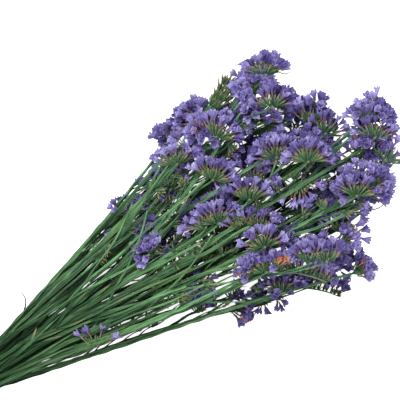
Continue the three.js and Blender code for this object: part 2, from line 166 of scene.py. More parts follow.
# tufts, which are small heads: [right, down, height share, face, lift, flowers]
TUFTS = [
    [281, 261, 1.02, 50, 65, 7], [372, 136, 0.6, 30, 60, 9], [240, 84, 0.8, 90, 50, 11],
    [239, 73, 0.7, 90, 50, 5], [284, 95, 0.7, 30, 50, 11], [292, 108, 0.6, 0, 40, 9],
    [250, 108, 0.85, 70, 60, 12], [262, 112, 0.8, 30, 50, 6], [273, 118, 0.8, 10, 50, 6],
    [248, 124, 0.6, -110, 50, 7], [225, 110, 0.6, 90, 50, 9], [236, 118, 0.7, 60, 50, 9],
    [242, 131, 0.6, -90, 50, 7], [296, 122, 0.55, 60, 60, 8], [303, 102, 0.5, 50, 40, 7],
    [312, 130, 0.7, 50, 50, 10], [318, 133, 0.65, 40, 40, 8], [333, 148, 0.6, -20, 40, 12],
    [331, 163, 0.55, -50, 40, 10], [270, 168, 0.6, -150, 50, 8], [318, 172, 0.6, -70, 40, 9],
    [361, 108, 0.9, 80, 50, 10], [386, 112, 0.9, 0, 50, 11], [390, 130, 0.85, -30, 40, 10],
    [360, 126, 0.85, 110, 40, 8], [362, 143, 0.9, 110, 50, 10], [383, 152, 0.8, -50, 50, 7],
    [368, 152, 0.8, -90, 50, 8], [375, 192, 0.8, -70, 60, 11], [386, 184, 0.7, -30, 40, 6],
    [350, 178, 0.8, 110, 40, 7], [328, 196, 0.55, 60, 50, 9], [342, 202, 0.5, -30, 50, 10],
    [322, 205, 0.5, 150, 40, 8], [364, 208, 0.6, -90, 40, 3], [341, 257, 0.35, -90, 40, 8],
    [360, 256, 0.35, -10, 40, 7], [295, 274, 0.3, 80, 50, 8], [312, 272, 0.35, 60, 50, 9],
    [330, 270, 0.35, 50, 50, 9], [345, 266, 0.3, -30, 40, 6], [278, 286, 0.4, 70, 50, 9],
    [300, 277, 0.4, 50, 50, 7], [266, 296, 0.25, 50, 50, 6], [254, 294, 0.25, 90, 50, 5],
    [240, 298, 0.25, 90, 50, 5], [278, 228, 0.8, 90, 60, 12], [288, 238, 0.8, -50, 60, 8],
    [275, 182, 0.55, 60, 60, 7], [305, 203, 0.5, 60, 60, 8], [306, 219, 0.45, -110, 50, 7],
    [240, 160, 0.4, 90, 50, 8], [262, 168, 0.45, 50, 50, 9], [236, 190, 0.7, 70, 50, 6],
    [183, 112, 0.6, 90, 40, 11], [196, 103, 0.6, 40, 40, 10], [180, 124, 0.5, 130, 40, 8],
    [163, 130, 0.4, 80, 40, 8], [164, 140, 0.4, -180, 40, 7], [175.1, 158, 0.6, 100, 50, 11],
    [218, 158, 0.6, 50, 50, 12], [225, 172, 0.6, -30, 50, 10], [158, 172, 0.5, 110, 50, 6],
    [148, 183, 0.45, 110, 50, 6], [170, 185, 0.6, 30, 50, 8], [180, 174, 0.6, 30, 50, 7],
    [168, 194, 0.6, -90, 50, 9], [131, 197, 0.35, 90, 40, 4], [122, 204, 0.3, 80, 40, 3],
    [113, 206, 0.5, 100, 40, 3], [153, 203, 0.55, 60, 60, 7], [143, 208, 0.4, 60, 50, 5],
    [143, 228, 0.7, 120, 60, 8], [156, 228, 0.6, 0, 50, 7], [215, 189, 0.4, 90, 50, 6],
    [142, 260, 0.7, -90, 60, 7], [192, 290, 0.7, 150, 50, 11], [208, 285, 0.7, -30, 50, 9],
    [195, 275, 0.5, 60, 50, 6], [225, 244, 0.3, 30, 50, 7], [272, 140, 0.8, 80, 50, 10],
    [286, 136, 0.85, 60, 50, 11], [300, 139, 0.85, 50, 50, 11], [316, 146, 0.8, 30, 50, 10],
    [328, 158, 0.7, -10, 40, 9], [258, 150, 0.6, 110, 50, 10], [250, 142, 0.4, 80, 40, 7],
    [262, 160, 0.6, -180, 40, 8], [302, 247, 0.8, 80, 45, 10], [313, 243, 0.85, 60, 45, 11],
    [325, 242, 0.85, 60, 45, 11], [337, 246, 0.75, 30, 45, 10], [346, 249, 0.4, -10, 40, 7],
    [325, 192, 0.6, 80, 45, 10], [340, 190, 0.6, 30, 45, 9], [347, 174, 0.9, 100, 45, 9],
    [360, 168.1, 0.9, 60, 45, 10], [373, 172, 0.85, 30, 45, 8], [355, 196, 0.7, -140, 40, 7],
    [316, 210, 0.45, -150, 40, 7], [300, 190, 0.45, 30, 50, 7], [252, 212, 0.6, 60, 50, 9],
    [266, 212, 0.6, 30, 50, 7], [240, 214, 0.6, 70, 50, 8], [188, 225, 0.7, 150, 50, 9],
    [190, 213, 0.75, 120, 50, 9], [200, 205, 0.75, 90, 50, 9], [216, 198, 0.75, 80, 50, 10],
    [232, 196, 0.75, 60, 50, 9], [264, 54, 0.9, 70, 40, 9], [252, 60, 0.85, 100, 40, 7],
    [280, 62, 0.8, 20, 40, 6], [318, 99, 0.75, 60, 45, 9], [321, 112, 0.7, 30, 45, 6],
    [376, 95, 0.95, 60, 40, 8], [385, 162, 0.7, -90, 40, 7], [281, 258, 1.02, 40, 35, 10],
    [165, 250, 0.4, -30, 50, 5], [172, 233, 0.4, 10, 50, 5], [116, 241, 0.4, 60, 50, 5],
]
# fans of long spikelets that show their sides:
# [right, down, height share, face, spread, spikelets, how many of the three tiers flower]
FANS = [
    [276, 158, 1, 70, 150, 31, 2], [308, 162, 1.02, 60, 170, 42, 2], [215, 137, 1, 30, 120, 22, 2],
    [213, 180, 0.97, 40, 150, 31, 2], [176, 165, 0.97, 70, 140, 22, 2], [249, 200, 0.95, 60, 130, 28, 1],
    [205, 228, 0.9, 90, 110, 25, 1], [218, 224, 0.9, 80, 110, 22, 2], [244, 230, 0.8, 70, 110, 22, 2],
    [258, 230, 0.8, 50, 110, 20, 2], [264, 248, 0.98, 70, 150, 28, 2], [266, 272, 0.95, 80, 110, 17, 1],
    [356, 196, 0.95, 50, 140, 28, 2], [325, 134, 0.75, 30, 120, 17, 2], [311, 124, 0.7, 50, 120, 22, 1],
    [378, 168, 0.7, 50, 120, 14, 1], [357, 164, 0.75, 80, 120, 17, 1], [342, 234, 0.6, 40, 150, 22, 2],
    [310, 263, 0.95, 60, 90, 20, 2], [326, 262, 0.95, 60, 90, 20, 2], [282, 294, 0.4, 60, 130, 20, 2],
    [97, 346, 0.72, 60, 120, 11, 2], [272, 108, 0.95, 60, 150, 22, 2], [170, 190, 0.7, 40, 110, 11, 1],
    [300, 182, 0.8, -90, 140, 22, 2], [253, 184, 0.8, 40, 100, 14, 2], [190, 150, 0.8, 80, 120, 17, 2],
    [264, 75, 0.9, 60, 140, 17, 2], [345, 212, 0.75, 30, 120, 14, 2], [276, 176, 0.7, -120, 110, 14, 2],
    [213, 109, 0.72, 30, 44, 22, 0], [362, 156, 0.5, 50, 150, 11, 0], [300, 216, 0.3, 60, 150, 11, 0],
    [330, 222, 0.3, 60, 150, 11, 0], [346, 212, 0.35, 50, 150, 11, 0], [318, 186, 0.35, 60, 150, 11, 0],
    [230, 154, 0.35, 70, 150, 11, 0], [300, 180, 0.35, 30, 150, 11, 0], [262, 190, 0.35, 60, 150, 11, 0],
    [330, 205, 0.35, 30, 150, 11, 0], [369, 121, 0.96, 60, 140, 17, 2], [374, 138, 0.97, 50, 150, 18, 2],
    [385, 160, 0.9, 30, 120, 13, 1], [302, 206, 0.55, 50, 120, 14, 1], [332, 192, 0.5, 50, 120, 14, 1],
    [217, 102, 0.72, 30, 46, 25, 0], [221, 95, 0.72, 30, 46, 22, 0], [225, 88, 0.7, 30, 40, 17, 0],
]
# leaves: [(right, down) of the foot, (right, down) of the tip, height share, half width, roll, tone, dry]
# the low dark leaves (dry 0) fill the gaps between heads and stems where shade falls: their dark tone is
# painted shade
LEAVES = [
    [(206, 114), (222, 98), 0.5, 2.5, 0.6, 0.17, 0], [(228, 166), (262, 136), 0.3, 5, 0.2, 0.17, 0],
    [(236, 160), (266, 142), 0.35, 4.5, -0.4, 0.24, 0], [(262.1, 152), (296, 126), 0.4, 4.5, 0.3, 0.2, 0],
    [(250, 134), (292, 124), 0.6, 4, -0.3, 0.42, 0], [(262, 128), (296, 116), 0.6, 3, 0.3, 0.37, 0],
    [(240, 205), (285, 180), 0.45, 4.5, 0.2, 0.2, 0], [(255, 215), (300, 190), 0.4, 4.5, -0.4, 0.22, 0],
    [(280, 212), (326, 196), 0.35, 4.5, 0.3, 0.17, 0], [(300, 232), (345, 218), 0.3, 4.5, 0.3, 0.17, 0],
    [(310, 240), (352, 226), 0.25, 4, -0.4, 0.22, 0], [(300, 222), (338, 210), 0.4, 4, 0.5, 0.24, 0],
    [(295, 225), (330, 234), 0.25, 4, 0.5, 0.17, 0], [(316, 176), (352, 158), 0.5, 3, 0.3, 0.32, 0],
    [(326, 182), (358, 168), 0.45, 3, -0.4, 0.22, 0], [(262, 286), (300, 270), 0.25, 4, 0.3, 0.24, 0],
    [(250, 288), (284, 276), 0.3, 3, -0.4, 0.27, 0], [(240, 270), (276, 258), 0.35, 4, 0.3, 0.22, 0],
    [(170, 224), (206, 196), 0.4, 4.5, 0.3, 0.22, 0], [(184, 215), (214, 190), 0.45, 4, -0.3, 0.27, 0],
    [(150, 240), (186, 214), 0.3, 4.5, 0.2, 0.2, 0], [(195, 270), (240, 248), 0.3, 4.5, 0.3, 0.18, 0],
    [(205, 262), (246, 238), 0.3, 4.5, -0.3, 0.22, 0], [(180, 262), (222, 240), 0.3, 4, 0.4, 0.2, 0],
    [(120, 262), (160, 228), 0.35, 4, 0.3, 0.27, 0], [(130, 275), (176, 250), 0.4, 4.5, -0.3, 0.24, 0],
    [(150, 290), (196, 268), 0.35, 4, 0.3, 0.26, 0], [(60, 330), (112, 288), 0.55, 4.5, 0.2, 0.24, 0],
    [(40, 345), (90, 300), 0.5, 4.5, -0.4, 0.22, 0], [(80, 310), (140, 270), 0.55, 4.5, 0.4, 0.27, 0],
    [(20, 340), (70, 290), 0.6, 4.5, 0.3, 0.2, 0], [(70, 345), (120, 316), 0.5, 4, 0.3, 0.24, 0],
    [(100, 318), (150, 292), 0.5, 4, -0.3, 0.22, 0], [(88, 301), (113, 283), 1.04, 1.7, 0.9, 0.5, 1],
    [(58, 328), (86, 319), 1.03, 1.3, 0.8, 0.6, 1], [(30, 346), (37, 328), 1.03, 1.6, 1, 0.7, 1],
    [(42, 341), (59, 337), 1.02, 1.2, 0.7, 0.6, 1], [(100, 310), (128, 297), 1.02, 1.2, 0.6, 0.4, 1],
    [(120, 262), (140, 240), 1, 1.1, 0.6, 0.4, 1], [(176, 215), (190, 196), 1, 1.2, 0.6, 0.5, 1],
    [(70, 306), (88, 290), 1.02, 1.1, 0.6, 0.4, 1], [(184, 206), (222, 177), 0.35, 5, 0.3, 0.18, 0],
    [(188, 196), (218, 174), 0.3, 5, -0.3, 0.2, 0], [(258, 214), (302, 188), 0.35, 5, 0.3, 0.18, 0],
    [(270, 180), (314, 158), 0.35, 5, -0.3, 0.2, 0], [(330, 228), (362, 212), 0.4, 4.5, 0.3, 0.2, 0],
]
# stalks that run out over the others: [three places (right, down, height share), radius, tone]
STALKS = [
    [(165, 165, 0.58), (214.9, 144, 0.9), (268, 120, 0.7), 2, 0.6],
    [(165, 226, 0.48), (205, 198, 0.9), (270, 156, 0.85), 2.2, 0.7],
    [(220, 232, 0.48), (280, 197, 0.87), (353, 158, 0.75), 2, 0.6],
    [(228, 262, 0.48), (295, 235, 0.82), (366, 205, 0.75), 1.8, 0.6],
    [(150, 285, 0.48), (195, 258, 0.89), (250, 228, 0.85), 2.2, 0.75],
    [(130, 302, 0.48), (195, 277, 0.89), (256, 260, 0.8), 1.8, 0.7],
    [(180, 300, 0.18), (260, 276, 0.52), (325, 266, 0.7), 1.1, 0.6],
    [(96, 268, 0.68), (135, 212, 0.87), (163, 163, 0.85), 1.2, 0.6],
    [(100, 262, 0.73), (145, 200, 0.87), (188, 132, 0.8), 1.3, 0.7],
    [(90, 282, 0.68), (150, 228, 0.92), (205, 180, 0.95), 1.6, 0.9],
    [(70, 318, 0.73), (130, 280, 0.94), (200, 243, 0.95), 1.5, 0.95],
    [(110, 318, 0.63), (180, 292, 0.87), (240, 280, 0.8), 1.2, 0.8],
    [(60, 330, 0.68), (130, 308, 0.9), (185, 285, 0.9), 1.4, 0.9],
    [(140, 322, 0.28), (190, 306, 0.52), (245, 300, 0.5), 1, 0.55],
    [(30, 338, 0.73), (85, 285, 0.94), (140, 235, 0.95), 1.5, 0.85],
    [(2, 338, 0.75), (75.1, 297, 0.92), (150, 254, 0.93), 1.5, 0.7],
    [(20, 345, 0.7), (110, 306, 0.91), (190, 266, 0.92), 1.4, 0.5],
    [(60, 345, 0.6), (130, 318, 0.9), (205, 284, 0.88), 1.3, 0.65],
    [(78, 345, 0.55), (118, 285, 0.92), (148, 212, 0.88), 1.2, 0.75],
    [(42, 342, 0.7), (96, 268, 0.9), (133, 205, 0.8), 1.2, 0.55],
    [(98, 345, 0.5), (158, 300, 0.9), (212, 236, 0.86), 1.2, 0.5],
]
# thin curled tendrils: [three places (right, down, height share), radius]
TENDRILS = [
    [(146, 311, 0.7), (154, 326, 0.55), (186, 299, 0.6), 0.9],
    [(24, 310, 0.4), (26, 300, 0.55), (21, 292, 0.6), 0.8],
    [(108, 286, 1), (113, 281, 1.06), (106, 277, 1.04), 0.5],
    [(345.1, 165, 0.6), (372, 160, 0.65), (374, 176, 0.7), 0.6],
    [(368, 210, 0.6), (382, 206, 0.6), (386, 196, 0.65), 0.6],
    [(256, 216, 0.8), (258, 205, 0.9), (262, 198, 0.85), 0.6],
    [(276, 70, 0.9), (285, 74, 0.9), (292, 70, 0.9), 0.6],
]
BUD = 20  # the spray whose flowers are still green buds

# ---- fine detail, in millimetres ----
STEM_RING = 4.0  # length of stem from one ring to the next
CORE_RADIUS = 1.05  # the round core that a stem's wings stand on
WING_HALF = 0.17  # half the thickness of a wing at its edge
WING_ROOT = 0.34  # and where it stands on the core
WING_SLIM, SLIM_FROM = 0.25, 80  # the share that dry wings are narrower than the solids', from so far on
WING_WAVE, WING_WAVE_STEP = 0.55, 4.5  # how far a wing's edge waves to the sides, and how quickly
STEM_TWIST, STEM_TWIST_WAVE = 35, 310  # degrees that a stem turns to either side, and over which length
FLORET_PITCH = 5.3  # along a rib, measured at the rims
FLORET_ROW = 4.9  # and across it
FLORET_RIM = 4.2  # radius of a fine calyx at its rim
KEEP_WITHIN = 4.5  # a floret stands where the solids have flowers at least this near
CALYX_RINGS = (5, 10, 20, 10, 1)  # points of its foot, throat, rim, inside and the bottom of its hollow
RIM_POINTS = slice(15, 35)  # those of the rim among them
CALYX_SUNK = 0.8  # how deep its foot stands in the spikelet
FADED_SHARE, FADED = 0.04, 0.6  # the share of the calyxes that have faded, and how far
BRACT_THICKNESS, BRACT_RINGS = 0.35, 5
# kinds of bracts: the shortest and the longest, half the width, and how far one bends out
STRAND_BRACT = (5, 9, 0.9, 0.35)
COMB_BRACT = (6, 11, 0.8, 0.2)
HEAD_BRACT = (7, 13, 1.4, 0.4)
SMALL_HEAD_BRACT = (6, 11, 1.3, 0.4)
FAN_BRACT = (7, 12, 0.8, 0.15)
STRAND_BRACTS, HEAD_BRACTS, SMALL_HEAD_BRACTS = 4, 14, 4  # how many end a strand, or surround a fork
KNOB_LENGTH, KNOB_BACK = 9, 5  # of the swollen fork, and how much of it lies back of the fork's point
KNOB_END, KNOB_SWELL = 0.5, 1.9  # its radius at its ends, and what the middle has more
RIB_BRANCH = (1.25, 0.6)  # radius of the branch under a rib, at its foot and its tip
STRAND_RADIUS = 1.5  # the reach of a strand's wings
STRAND_FROM, STRAND_TO = (15, 60), (0.55, 0.9)  # from which x, and to which share of its stem's reach
STRAND_ASIDE, STRAND_UP = (4, 16), 4  # how far it moves to the side, and up or down
STRAND_SHADE, BLADE_SHADE = (0.1, 0.7), (0, 0.8)  # how much darker than its stem one is
TUFT_SHADE = (-0.25, 0.3)  # how much brighter than its stem a small head's branch is
STRANDS = (1, -1)  # the side of its stem to which each strand runs, 1 for the left
LEFT_EDGE = 0.25  # a stem that ends at a greater y / x has all its strands and leaves on its right
RIGHT_EDGE = -0.12  # and one that ends at a smaller y / x has all its leaves on its left
BARE_EDGE = (6, 13, 19, 25, 26)  # the sprays of the right edge, which have no strands or leaves
BLADES = 4  # narrow leaves of a stem
BLADE_FROM, BLADE_LENGTH = (20, 190), (60, 120)  # the x from which one grows, and its length
BLADE_HALF, BLADE_ROLL, BLADE_ASIDE = (1.0, 2.6), 1.2, 20  # half its width, its roll, its way to the side
TWIGS, BARE_TWIGS = 12, 0.8  # small side twigs of a stem, and the share of them that don't flower
TWIG_FROM, TWIG_TO = 0.45, 0.92  # where they leave the stem, as shares of its reach
TWIG_FACE, TWIG_LIFT, TWIG_LENGTH = (25, 100), (-15, 35), (16, 40)  # to either side, up, and how long
TWIG_FLOWERS, TWIG_BUDS = (1, 4), 3  # flowers from the first to below the second, and buds in place of each
TWIG_SIZE, TWIG_TONE, TWIG_BRANCH = (0.55, 0.8), 0.6, 0.8  # of its calyxes, its tone, its wings' reach
TWIG_LOWEST = 8  # no twig's tip lies lower
TWIGS_FLOWER_FROM = 300  # a twig whose tip is nearer to the tie than this doesn't flower either
BUNCH_EDGE, BUNCH_END = (-0.19, 0.27), 440  # y / x of the bunch's edges, and the x that no twig passes
CLUSTER_OPEN = 0.026  # the share of a half sphere that each flower of a small head takes
SMALL_HEAD_BRANCH, SIDE_HEAD_BRANCH = 1.1, 1.9  # the reach of the wings on these heads' branches
SPRIG_FLOWERS, SPRIG_SIZE = 6, 0.75  # flowers of a sprig, and their size against a main head's
FAN_WIDTH, FAN_TOP = 8, 111  # how wide the foot of a fan is, and how high it may lie
FAN_LIFT, FAN_TIERS = 20, (4, 20, 40)  # degrees that a fan's facing rises, and each of its tiers
FAN_SPIKELET, FAN_SLIM = 1.45, 0.62  # the size of its spikelets, and their width as a share of that
FAN_STEP = 4  # how much farther out than on other heads its calyxes stand
TUFT_DEPTH, TUFT_LOWEST = 14, 6  # how deep a small head's fork lies behind its flowers, and how low
BRANCH_BACK, BRANCH_LAST = 38, 12  # a branch leaves the stem so far back of its fork, and of the stem's end
DRIED_AT, DRIED_REACH = (340, -51), 8  # the tuft whose calyxes have dried to orange, in x and y
TOP_START, TOP_CLIMB = 30, 0.2  # the height of the bunch's top at the tie, and how fast it climbs
SHADED_LAYER_TONE, LAYER_SHADE_CLIMB = 0.15, 4.2  # tone of the low stems, and how it grows with the climb of a layer: painted shade, the lower layers darker
TWINE_RADIUS, TWINE_CLEARANCE = 1.25, 0.45  # the second is the gap between twine and stems
TWINE_TURNS, TWINE_PITCH = 3, 1.8  # turns round the bunch, and the step between them in radii
TWINE_TWIST = 0.16  # turns of its two strands in each millimetre
KNOT_Y, TAIL_LENGTH = 2, 20
KNOT_LOOPS = [(3.4, 2.2), (2.4, 3.2)]  # the half length and half width of the knot's loops

# ---- the view ----
FIELD = 400  # millimetres across the view
VIEW_AT = (302.4, 43.6)  # x and y in the middle of the view
VIEW_TURN = -30.5  # degrees from the stems' way to the view's right
VIEW_HEIGHT = 3000  # the camera's height
MIDDLE_HEIGHT = 45  # the height at which a millimetre of the bunch is one of the view
SEEN_HEIGHT = 60  # the height at which a seen place is read to find how high the bunch is there
FLOOR_HALF = 6.0  # metres from the middle of the floor to each side


def unit(v):
    """v divided by its length."""
    return v / np.linalg.norm(v, axis=-1, keepdims=True)


def draw(n):
    """A number from 0 to 1 that is always the same for one n: the fraction of a large sine."""
    v = np.sin(n * 127.1 + 311.7) * 43758.5453
    return v - np.floor(v)


def direction(face, lift):
    """A unit vector, by its angle from +X in plan and its angle above the table."""
    turn, rise = np.radians([face, lift])
    return np.array([np.cos(turn) * np.cos(rise), np.sin(turn) * np.cos(rise), np.sin(rise)])


# ---- the bunch's lines ----
def spring(x):
    """The height of a hyperbola that starts flat at x 0 and straightens out."""
    return np.hypot(x, SPRING) - SPRING


def top_of_bunch(x):
    """How high the bunch reaches at x: its top rises like the highest stems do."""
    return TOP_START + TOP_CLIMB * spring(np.maximum(x, 0))


def in_view(right, up):
    """The x and y of a place so far right of and above the middle of the view: the view's two axes, turned
    by VIEW_TURN."""
    turn = np.radians(VIEW_TURN)
    x = VIEW_AT[0] + right * np.cos(turn) - up * np.sin(turn)
    y = VIEW_AT[1] + right * np.sin(turn) + up * np.cos(turn)
    return x, y


def seen_at(right, down, z):
    """The x and y of what the camera sees at right and down in its view, if that lies z high. It looks
    larger there by the share of the camera's distance that it is nearer."""
    larger = 1 + (z - MIDDLE_HEIGHT) / (VIEW_HEIGHT - MIDDLE_HEIGHT)
    return in_view((right - FIELD / 2) / larger, (FIELD / 2 - down) / larger)


def seen(right, down, share, highest=np.inf):
    """The place of what the camera sees at right and down in its view. Its height is a share of the
    bunch's height there."""
    x, _ = seen_at(right, down, SEEN_HEIGHT)
    z = min(share * top_of_bunch(x), highest)
    return np.array([*seen_at(right, down, z), z])


def read_sprays():
    """The sprays of all the layers, numbered from 1, each with its slot in the tie."""
    sprays = []
    for layer, (climb, rows) in enumerate(LAYERS):
        for i, (reach, side, bow, face, lift, ribs, spread, florets, radius) in enumerate(rows):
            sprays.append(SimpleNamespace(
                number=len(sprays) + 1, reach=reach, side=side, bow=bow, climb=climb, ribs=ribs,
                spread=spread, florets=florets, radius=radius, facing=direction(face, lift),
                slot_y=((len(rows) - 1) / 2 - i) * STEM_PITCH_Y,
                slot_z=FIRST_STEM_Z + (len(LAYERS) - 1 - layer) * STEM_PITCH_Z,
            ))
    return sprays


def stem_point(spray, x):
    """A stem's centreline at x. Past the tie it goes out in proportion to spring(x), with a sine wave that
    grows along it, and behind the tie the stems open out a little."""
    x = np.asarray(x, float)
    away = spring(x)
    share = away / spring(spray.reach)
    sway = share * np.sin(2 * np.pi * (x / WOBBLE_WAVE + draw(spray.number)))
    y = spray.slot_y + (spray.side - spray.slot_y) * share + WOBBLE_SIDE * sway
    y = y + spray.bow * np.sin(np.pi * np.clip(share, 0, 1))
    z = spray.slot_z + spray.climb * away + WOBBLE_UP * sway
    spread = 1 + BUTT_FLARE * away
    y = np.where(x < 0, spray.slot_y * spread, y)
    z = np.where(x < 0, spray.slot_z * (1 + BUTT_RISE * (spread - 1)), z)
    return np.stack([x, y, z], -1)


def wing_size(spray, x):
    """The reach of a stem's wings at x: wider half way up by a squared sine, and narrower at the fork."""
    share = np.maximum(x, 0) / spray.reach
    return WING_RADIUS * (1 + WING_SWELL * np.sin(np.pi * share) ** 2 - WING_TAPER * share**4)


def ribs_of(head):
    """A head's ribs. From the fork they leave square to the facing, fanned about the way down to the
    table, and bend away from the facing on a circle, so each point is the fork + out * radius * sin(angle)
    + facing * radius * (cos(angle) - 1). A single rib leaves to the right of the facing."""
    facing = head.facing
    down = unit(np.array([0, 0, -1]) + facing[2] * facing)
    across = np.cross(down, facing)
    ribs = []
    for i in range(head.ribs):
        turn = np.radians(head.spread * (i / (head.ribs - 1) - 0.5) if head.ribs > 1 else 90)
        out = down * np.cos(turn) + across * np.sin(turn)
        wedge = np.tan(np.radians(0.5 * head.spread / (head.ribs - 1))) if head.ribs > 1 else 1e6
        ribs.append(SimpleNamespace(head=head, out=out, flat=np.cross(out, facing), wedge=wedge))
    return ribs


def rib_point(rib, s):
    """The point of a rib at the length s along it from the fork, on the circle of ribs_of."""
    angle = np.asarray(s)[..., None] / rib.head.radius
    rise = np.cos(angle) - 1
    return rib.head.fork + rib.head.radius * (rib.out * np.sin(angle) + rib.head.facing * rise)


def rib_normal(rib, s):
    """The way that the flowers of a rib point at s: facing * cos(angle) + out * sin(angle)."""
    angle = np.asarray(s)[..., None] / rib.head.radius
    return rib.head.facing * np.cos(angle) + rib.out * np.sin(angle)


def main_head(spray):
    """The head at the end of a spray's stem."""
    fork = stem_point(spray, spray.reach)
    along = unit(fork - stem_point(spray, spray.reach - TIP))
    return SimpleNamespace(
        fork=fork, along=along, facing=spray.facing, ribs=spray.ribs, spread=spray.spread,
        florets=spray.florets, radius=spray.radius, number=spray.number, branch=None,
    )


def side_head(spray, at, length, face, lift, ribs, florets):
    """A head on a branch that leaves a stem at x = at: the branch goes forward along the stem and aside
    along the head's facing, by shares of its length, and bows out in the middle."""
    start = stem_point(spray, at)
    along = unit(stem_point(spray, at + TIP) - start)
    facing = direction(face, lift)
    fork = start + along * length * BRANCH_FORWARD + facing * length * BRANCH_ASIDE
    middle = (start + fork) / 2 + facing * length * BRANCH_BOW
    return SimpleNamespace(
        fork=fork, along=along, facing=facing, ribs=ribs, spread=SIDE_SPREAD, florets=florets,
        radius=SIDE_RADIUS, number=spray.number, branch=(start, middle, fork),
    )


# ---- meshes ----
# A part of a mesh is a SimpleNamespace of points (n, 3) in mm, faces (m, 3), the number of its finish, and
# for each point flow (where the pattern is read, in mm), along (0 to 1 from foot to tip), edge (0 to 1) and
# tone (0 to 1).
def part(points, faces, flow, along, edge, tone, finish=0):
    """Flattens the arrays of one shape, or of many copies of it, into a part of a mesh."""
    count = int(np.prod(points.shape[:-1]))
    flow = np.broadcast_to(flow, points.shape).reshape(count, 3)
    along, edge, tone = (np.broadcast_to(v, points.shape[:-1]).reshape(count) for v in (along, edge, tone))
    return SimpleNamespace(
        points=points.reshape(count, 3), faces=faces, flow=flow, along=along, edge=edge, tone=tone,
        finish=finish,
    )


def build(name, parts, finishes, crease=50):
    """One mesh object, in metres at the origin, from its parts and its materials. What would sink into the
    table is levelled to it. depth goes from 0 at the top of the bunch to 1 at the table, where the top
    falls off to both sides by a square; the materials use it only for painted shade."""
    starts = np.cumsum([0] + [len(p.points) for p in parts[:-1]])
    points = np.concatenate([p.points for p in parts])
    points = np.clip(points, BOX_LOW, BOX_HIGH)
    faces = np.concatenate([p.faces + start for p, start in zip(parts, starts)])
    mesh = bpy.data.meshes.new(name)
    mesh.from_pydata((points * MM + SHIFT).astype(np.float32), [], faces)
    # depth, for the painted shade: 0 at the top of the bunch, 1 at the table
    top = top_of_bunch(points[:, 0])
    low_edge, high_edge = BUNCH_EDGE
    aside = 2 * (points[:, 1] / np.maximum(points[:, 0], 60) - low_edge) / (high_edge - low_edge) - 1
    top = top * (1 - 0.5 * np.clip(aside, -1, 1) ** 2)
    depth = np.clip(1 - points[:, 2] / top, 0, 1).astype(np.float32)
    mesh.attributes.new("depth", "FLOAT", "POINT").data.foreach_set("value", depth)
    for title in ("along", "edge", "tone"):
        values = np.concatenate([getattr(p, title) for p in parts]).astype(np.float32)
        mesh.attributes.new(title, "FLOAT", "POINT").data.foreach_set("value", values)
    flow = np.concatenate([p.flow for p in parts]).astype(np.float32)
    mesh.attributes.new("flow", "FLOAT_VECTOR", "POINT").data.foreach_set("vector", flow.ravel())
    numbers = np.concatenate([np.full(len(p.faces), p.finish) for p in parts]).astype(np.int32)
    for material in finishes:
        mesh.materials.append(material)
    mesh.polygons.foreach_set("material_index", numbers)
    mesh.polygons.foreach_set("use_smooth", np.ones(len(faces), bool))
    mesh.set_sharp_from_angle(angle=np.radians(crease))
    piece = bpy.data.objects.new(name, mesh)
    bpy.context.scene.collection.objects.link(piece)
    return piece


def tube_faces(rings, corners):
    """The triangles of a tube of so many rings and corners, with a fan from a pole at each end. The poles
    are the last two points."""
    i, j = np.meshgrid(np.arange(rings - 1), np.arange(corners), indexing="ij")
    p, q = i * corners + j, i * corners + (j + 1) % corners
    sides = np.stack([p, q, q + corners, p, q + corners, p + corners], -1).reshape(-1, 3)
    j = np.arange(corners)
    start, last = rings * corners, (rings - 1) * corners
    low = np.stack([np.full(corners, start), (j + 1) % corners, j], -1)
    high = np.stack([np.full(corners, start + 1), last + j, last + (j + 1) % corners], -1)
    return np.concatenate([sides, low, high])


def tube(path, section, reference=(0, 0, 1)):
    """Points of a tube: at each point of the path, the section's two coordinates laid along the axis that
    is square to the reference and the path, and along the axis square to that one. path is (n, 3) and
    section (n, m, 2), and the path's ends become poles."""
    tangent = unit(np.gradient(path, axis=0))
    a = unit(np.cross(reference, tangent))
    b = np.cross(tangent, a)
    rings = path[:, None] + section[..., :1] * a[:, None] + section[..., 1:] * b[:, None]
    return np.concatenate([rings.reshape(-1, 3), path[:1], path[-1:]])


def ring_values(values, corners):
    """One value for each ring, repeated for its corners and its poles."""
    return np.concatenate([np.repeat(values, corners), values[:1], values[-1:]])


def tube_part(path, section, tone, edge, finish=0, reference=(0, 0, 1), seed=0):
    """A tube as a part. The pattern runs along it: its flow is the section, and the length run / 12, so
    that streaks are twelve times as long as they are wide."""
    rings, corners = section.shape[:2]
    run = np.concatenate([[0], np.cumsum(np.linalg.norm(np.diff(path, axis=0), axis=1))])
    flat = np.concatenate([section.reshape(-1, 2), np.zeros((2, 2))])
    flow = np.column_stack([flat + 7.3 * seed, ring_values(run / 12, corners)])
    edges = np.concatenate([np.broadcast_to(edge, (rings, corners)).ravel(), [0, 0]])
    share = ring_values(run / run[-1], corners)
    points = tube(path, section, reference)
    return part(points, tube_faces(rings, corners), flow, share, edges, tone, finish)


def stamp(local, origin, axis, side):
    """Copies of a shape, given as local points (n, m, 3). Each copy's z is laid along its axis, and its x
    towards its side."""
    z = unit(axis)
    y = unit(np.cross(z, side))
    x = np.cross(y, z)
    basis = np.stack([x, y, z], 1)
    return origin[:, None] + np.einsum("nmk,nkc->nmc", local, basis)


def copies(faces, count, size):
    """The faces of so many copies of a shape that has size points."""
    return (faces[None] + size * np.arange(count)[:, None, None]).reshape(-1, 3)


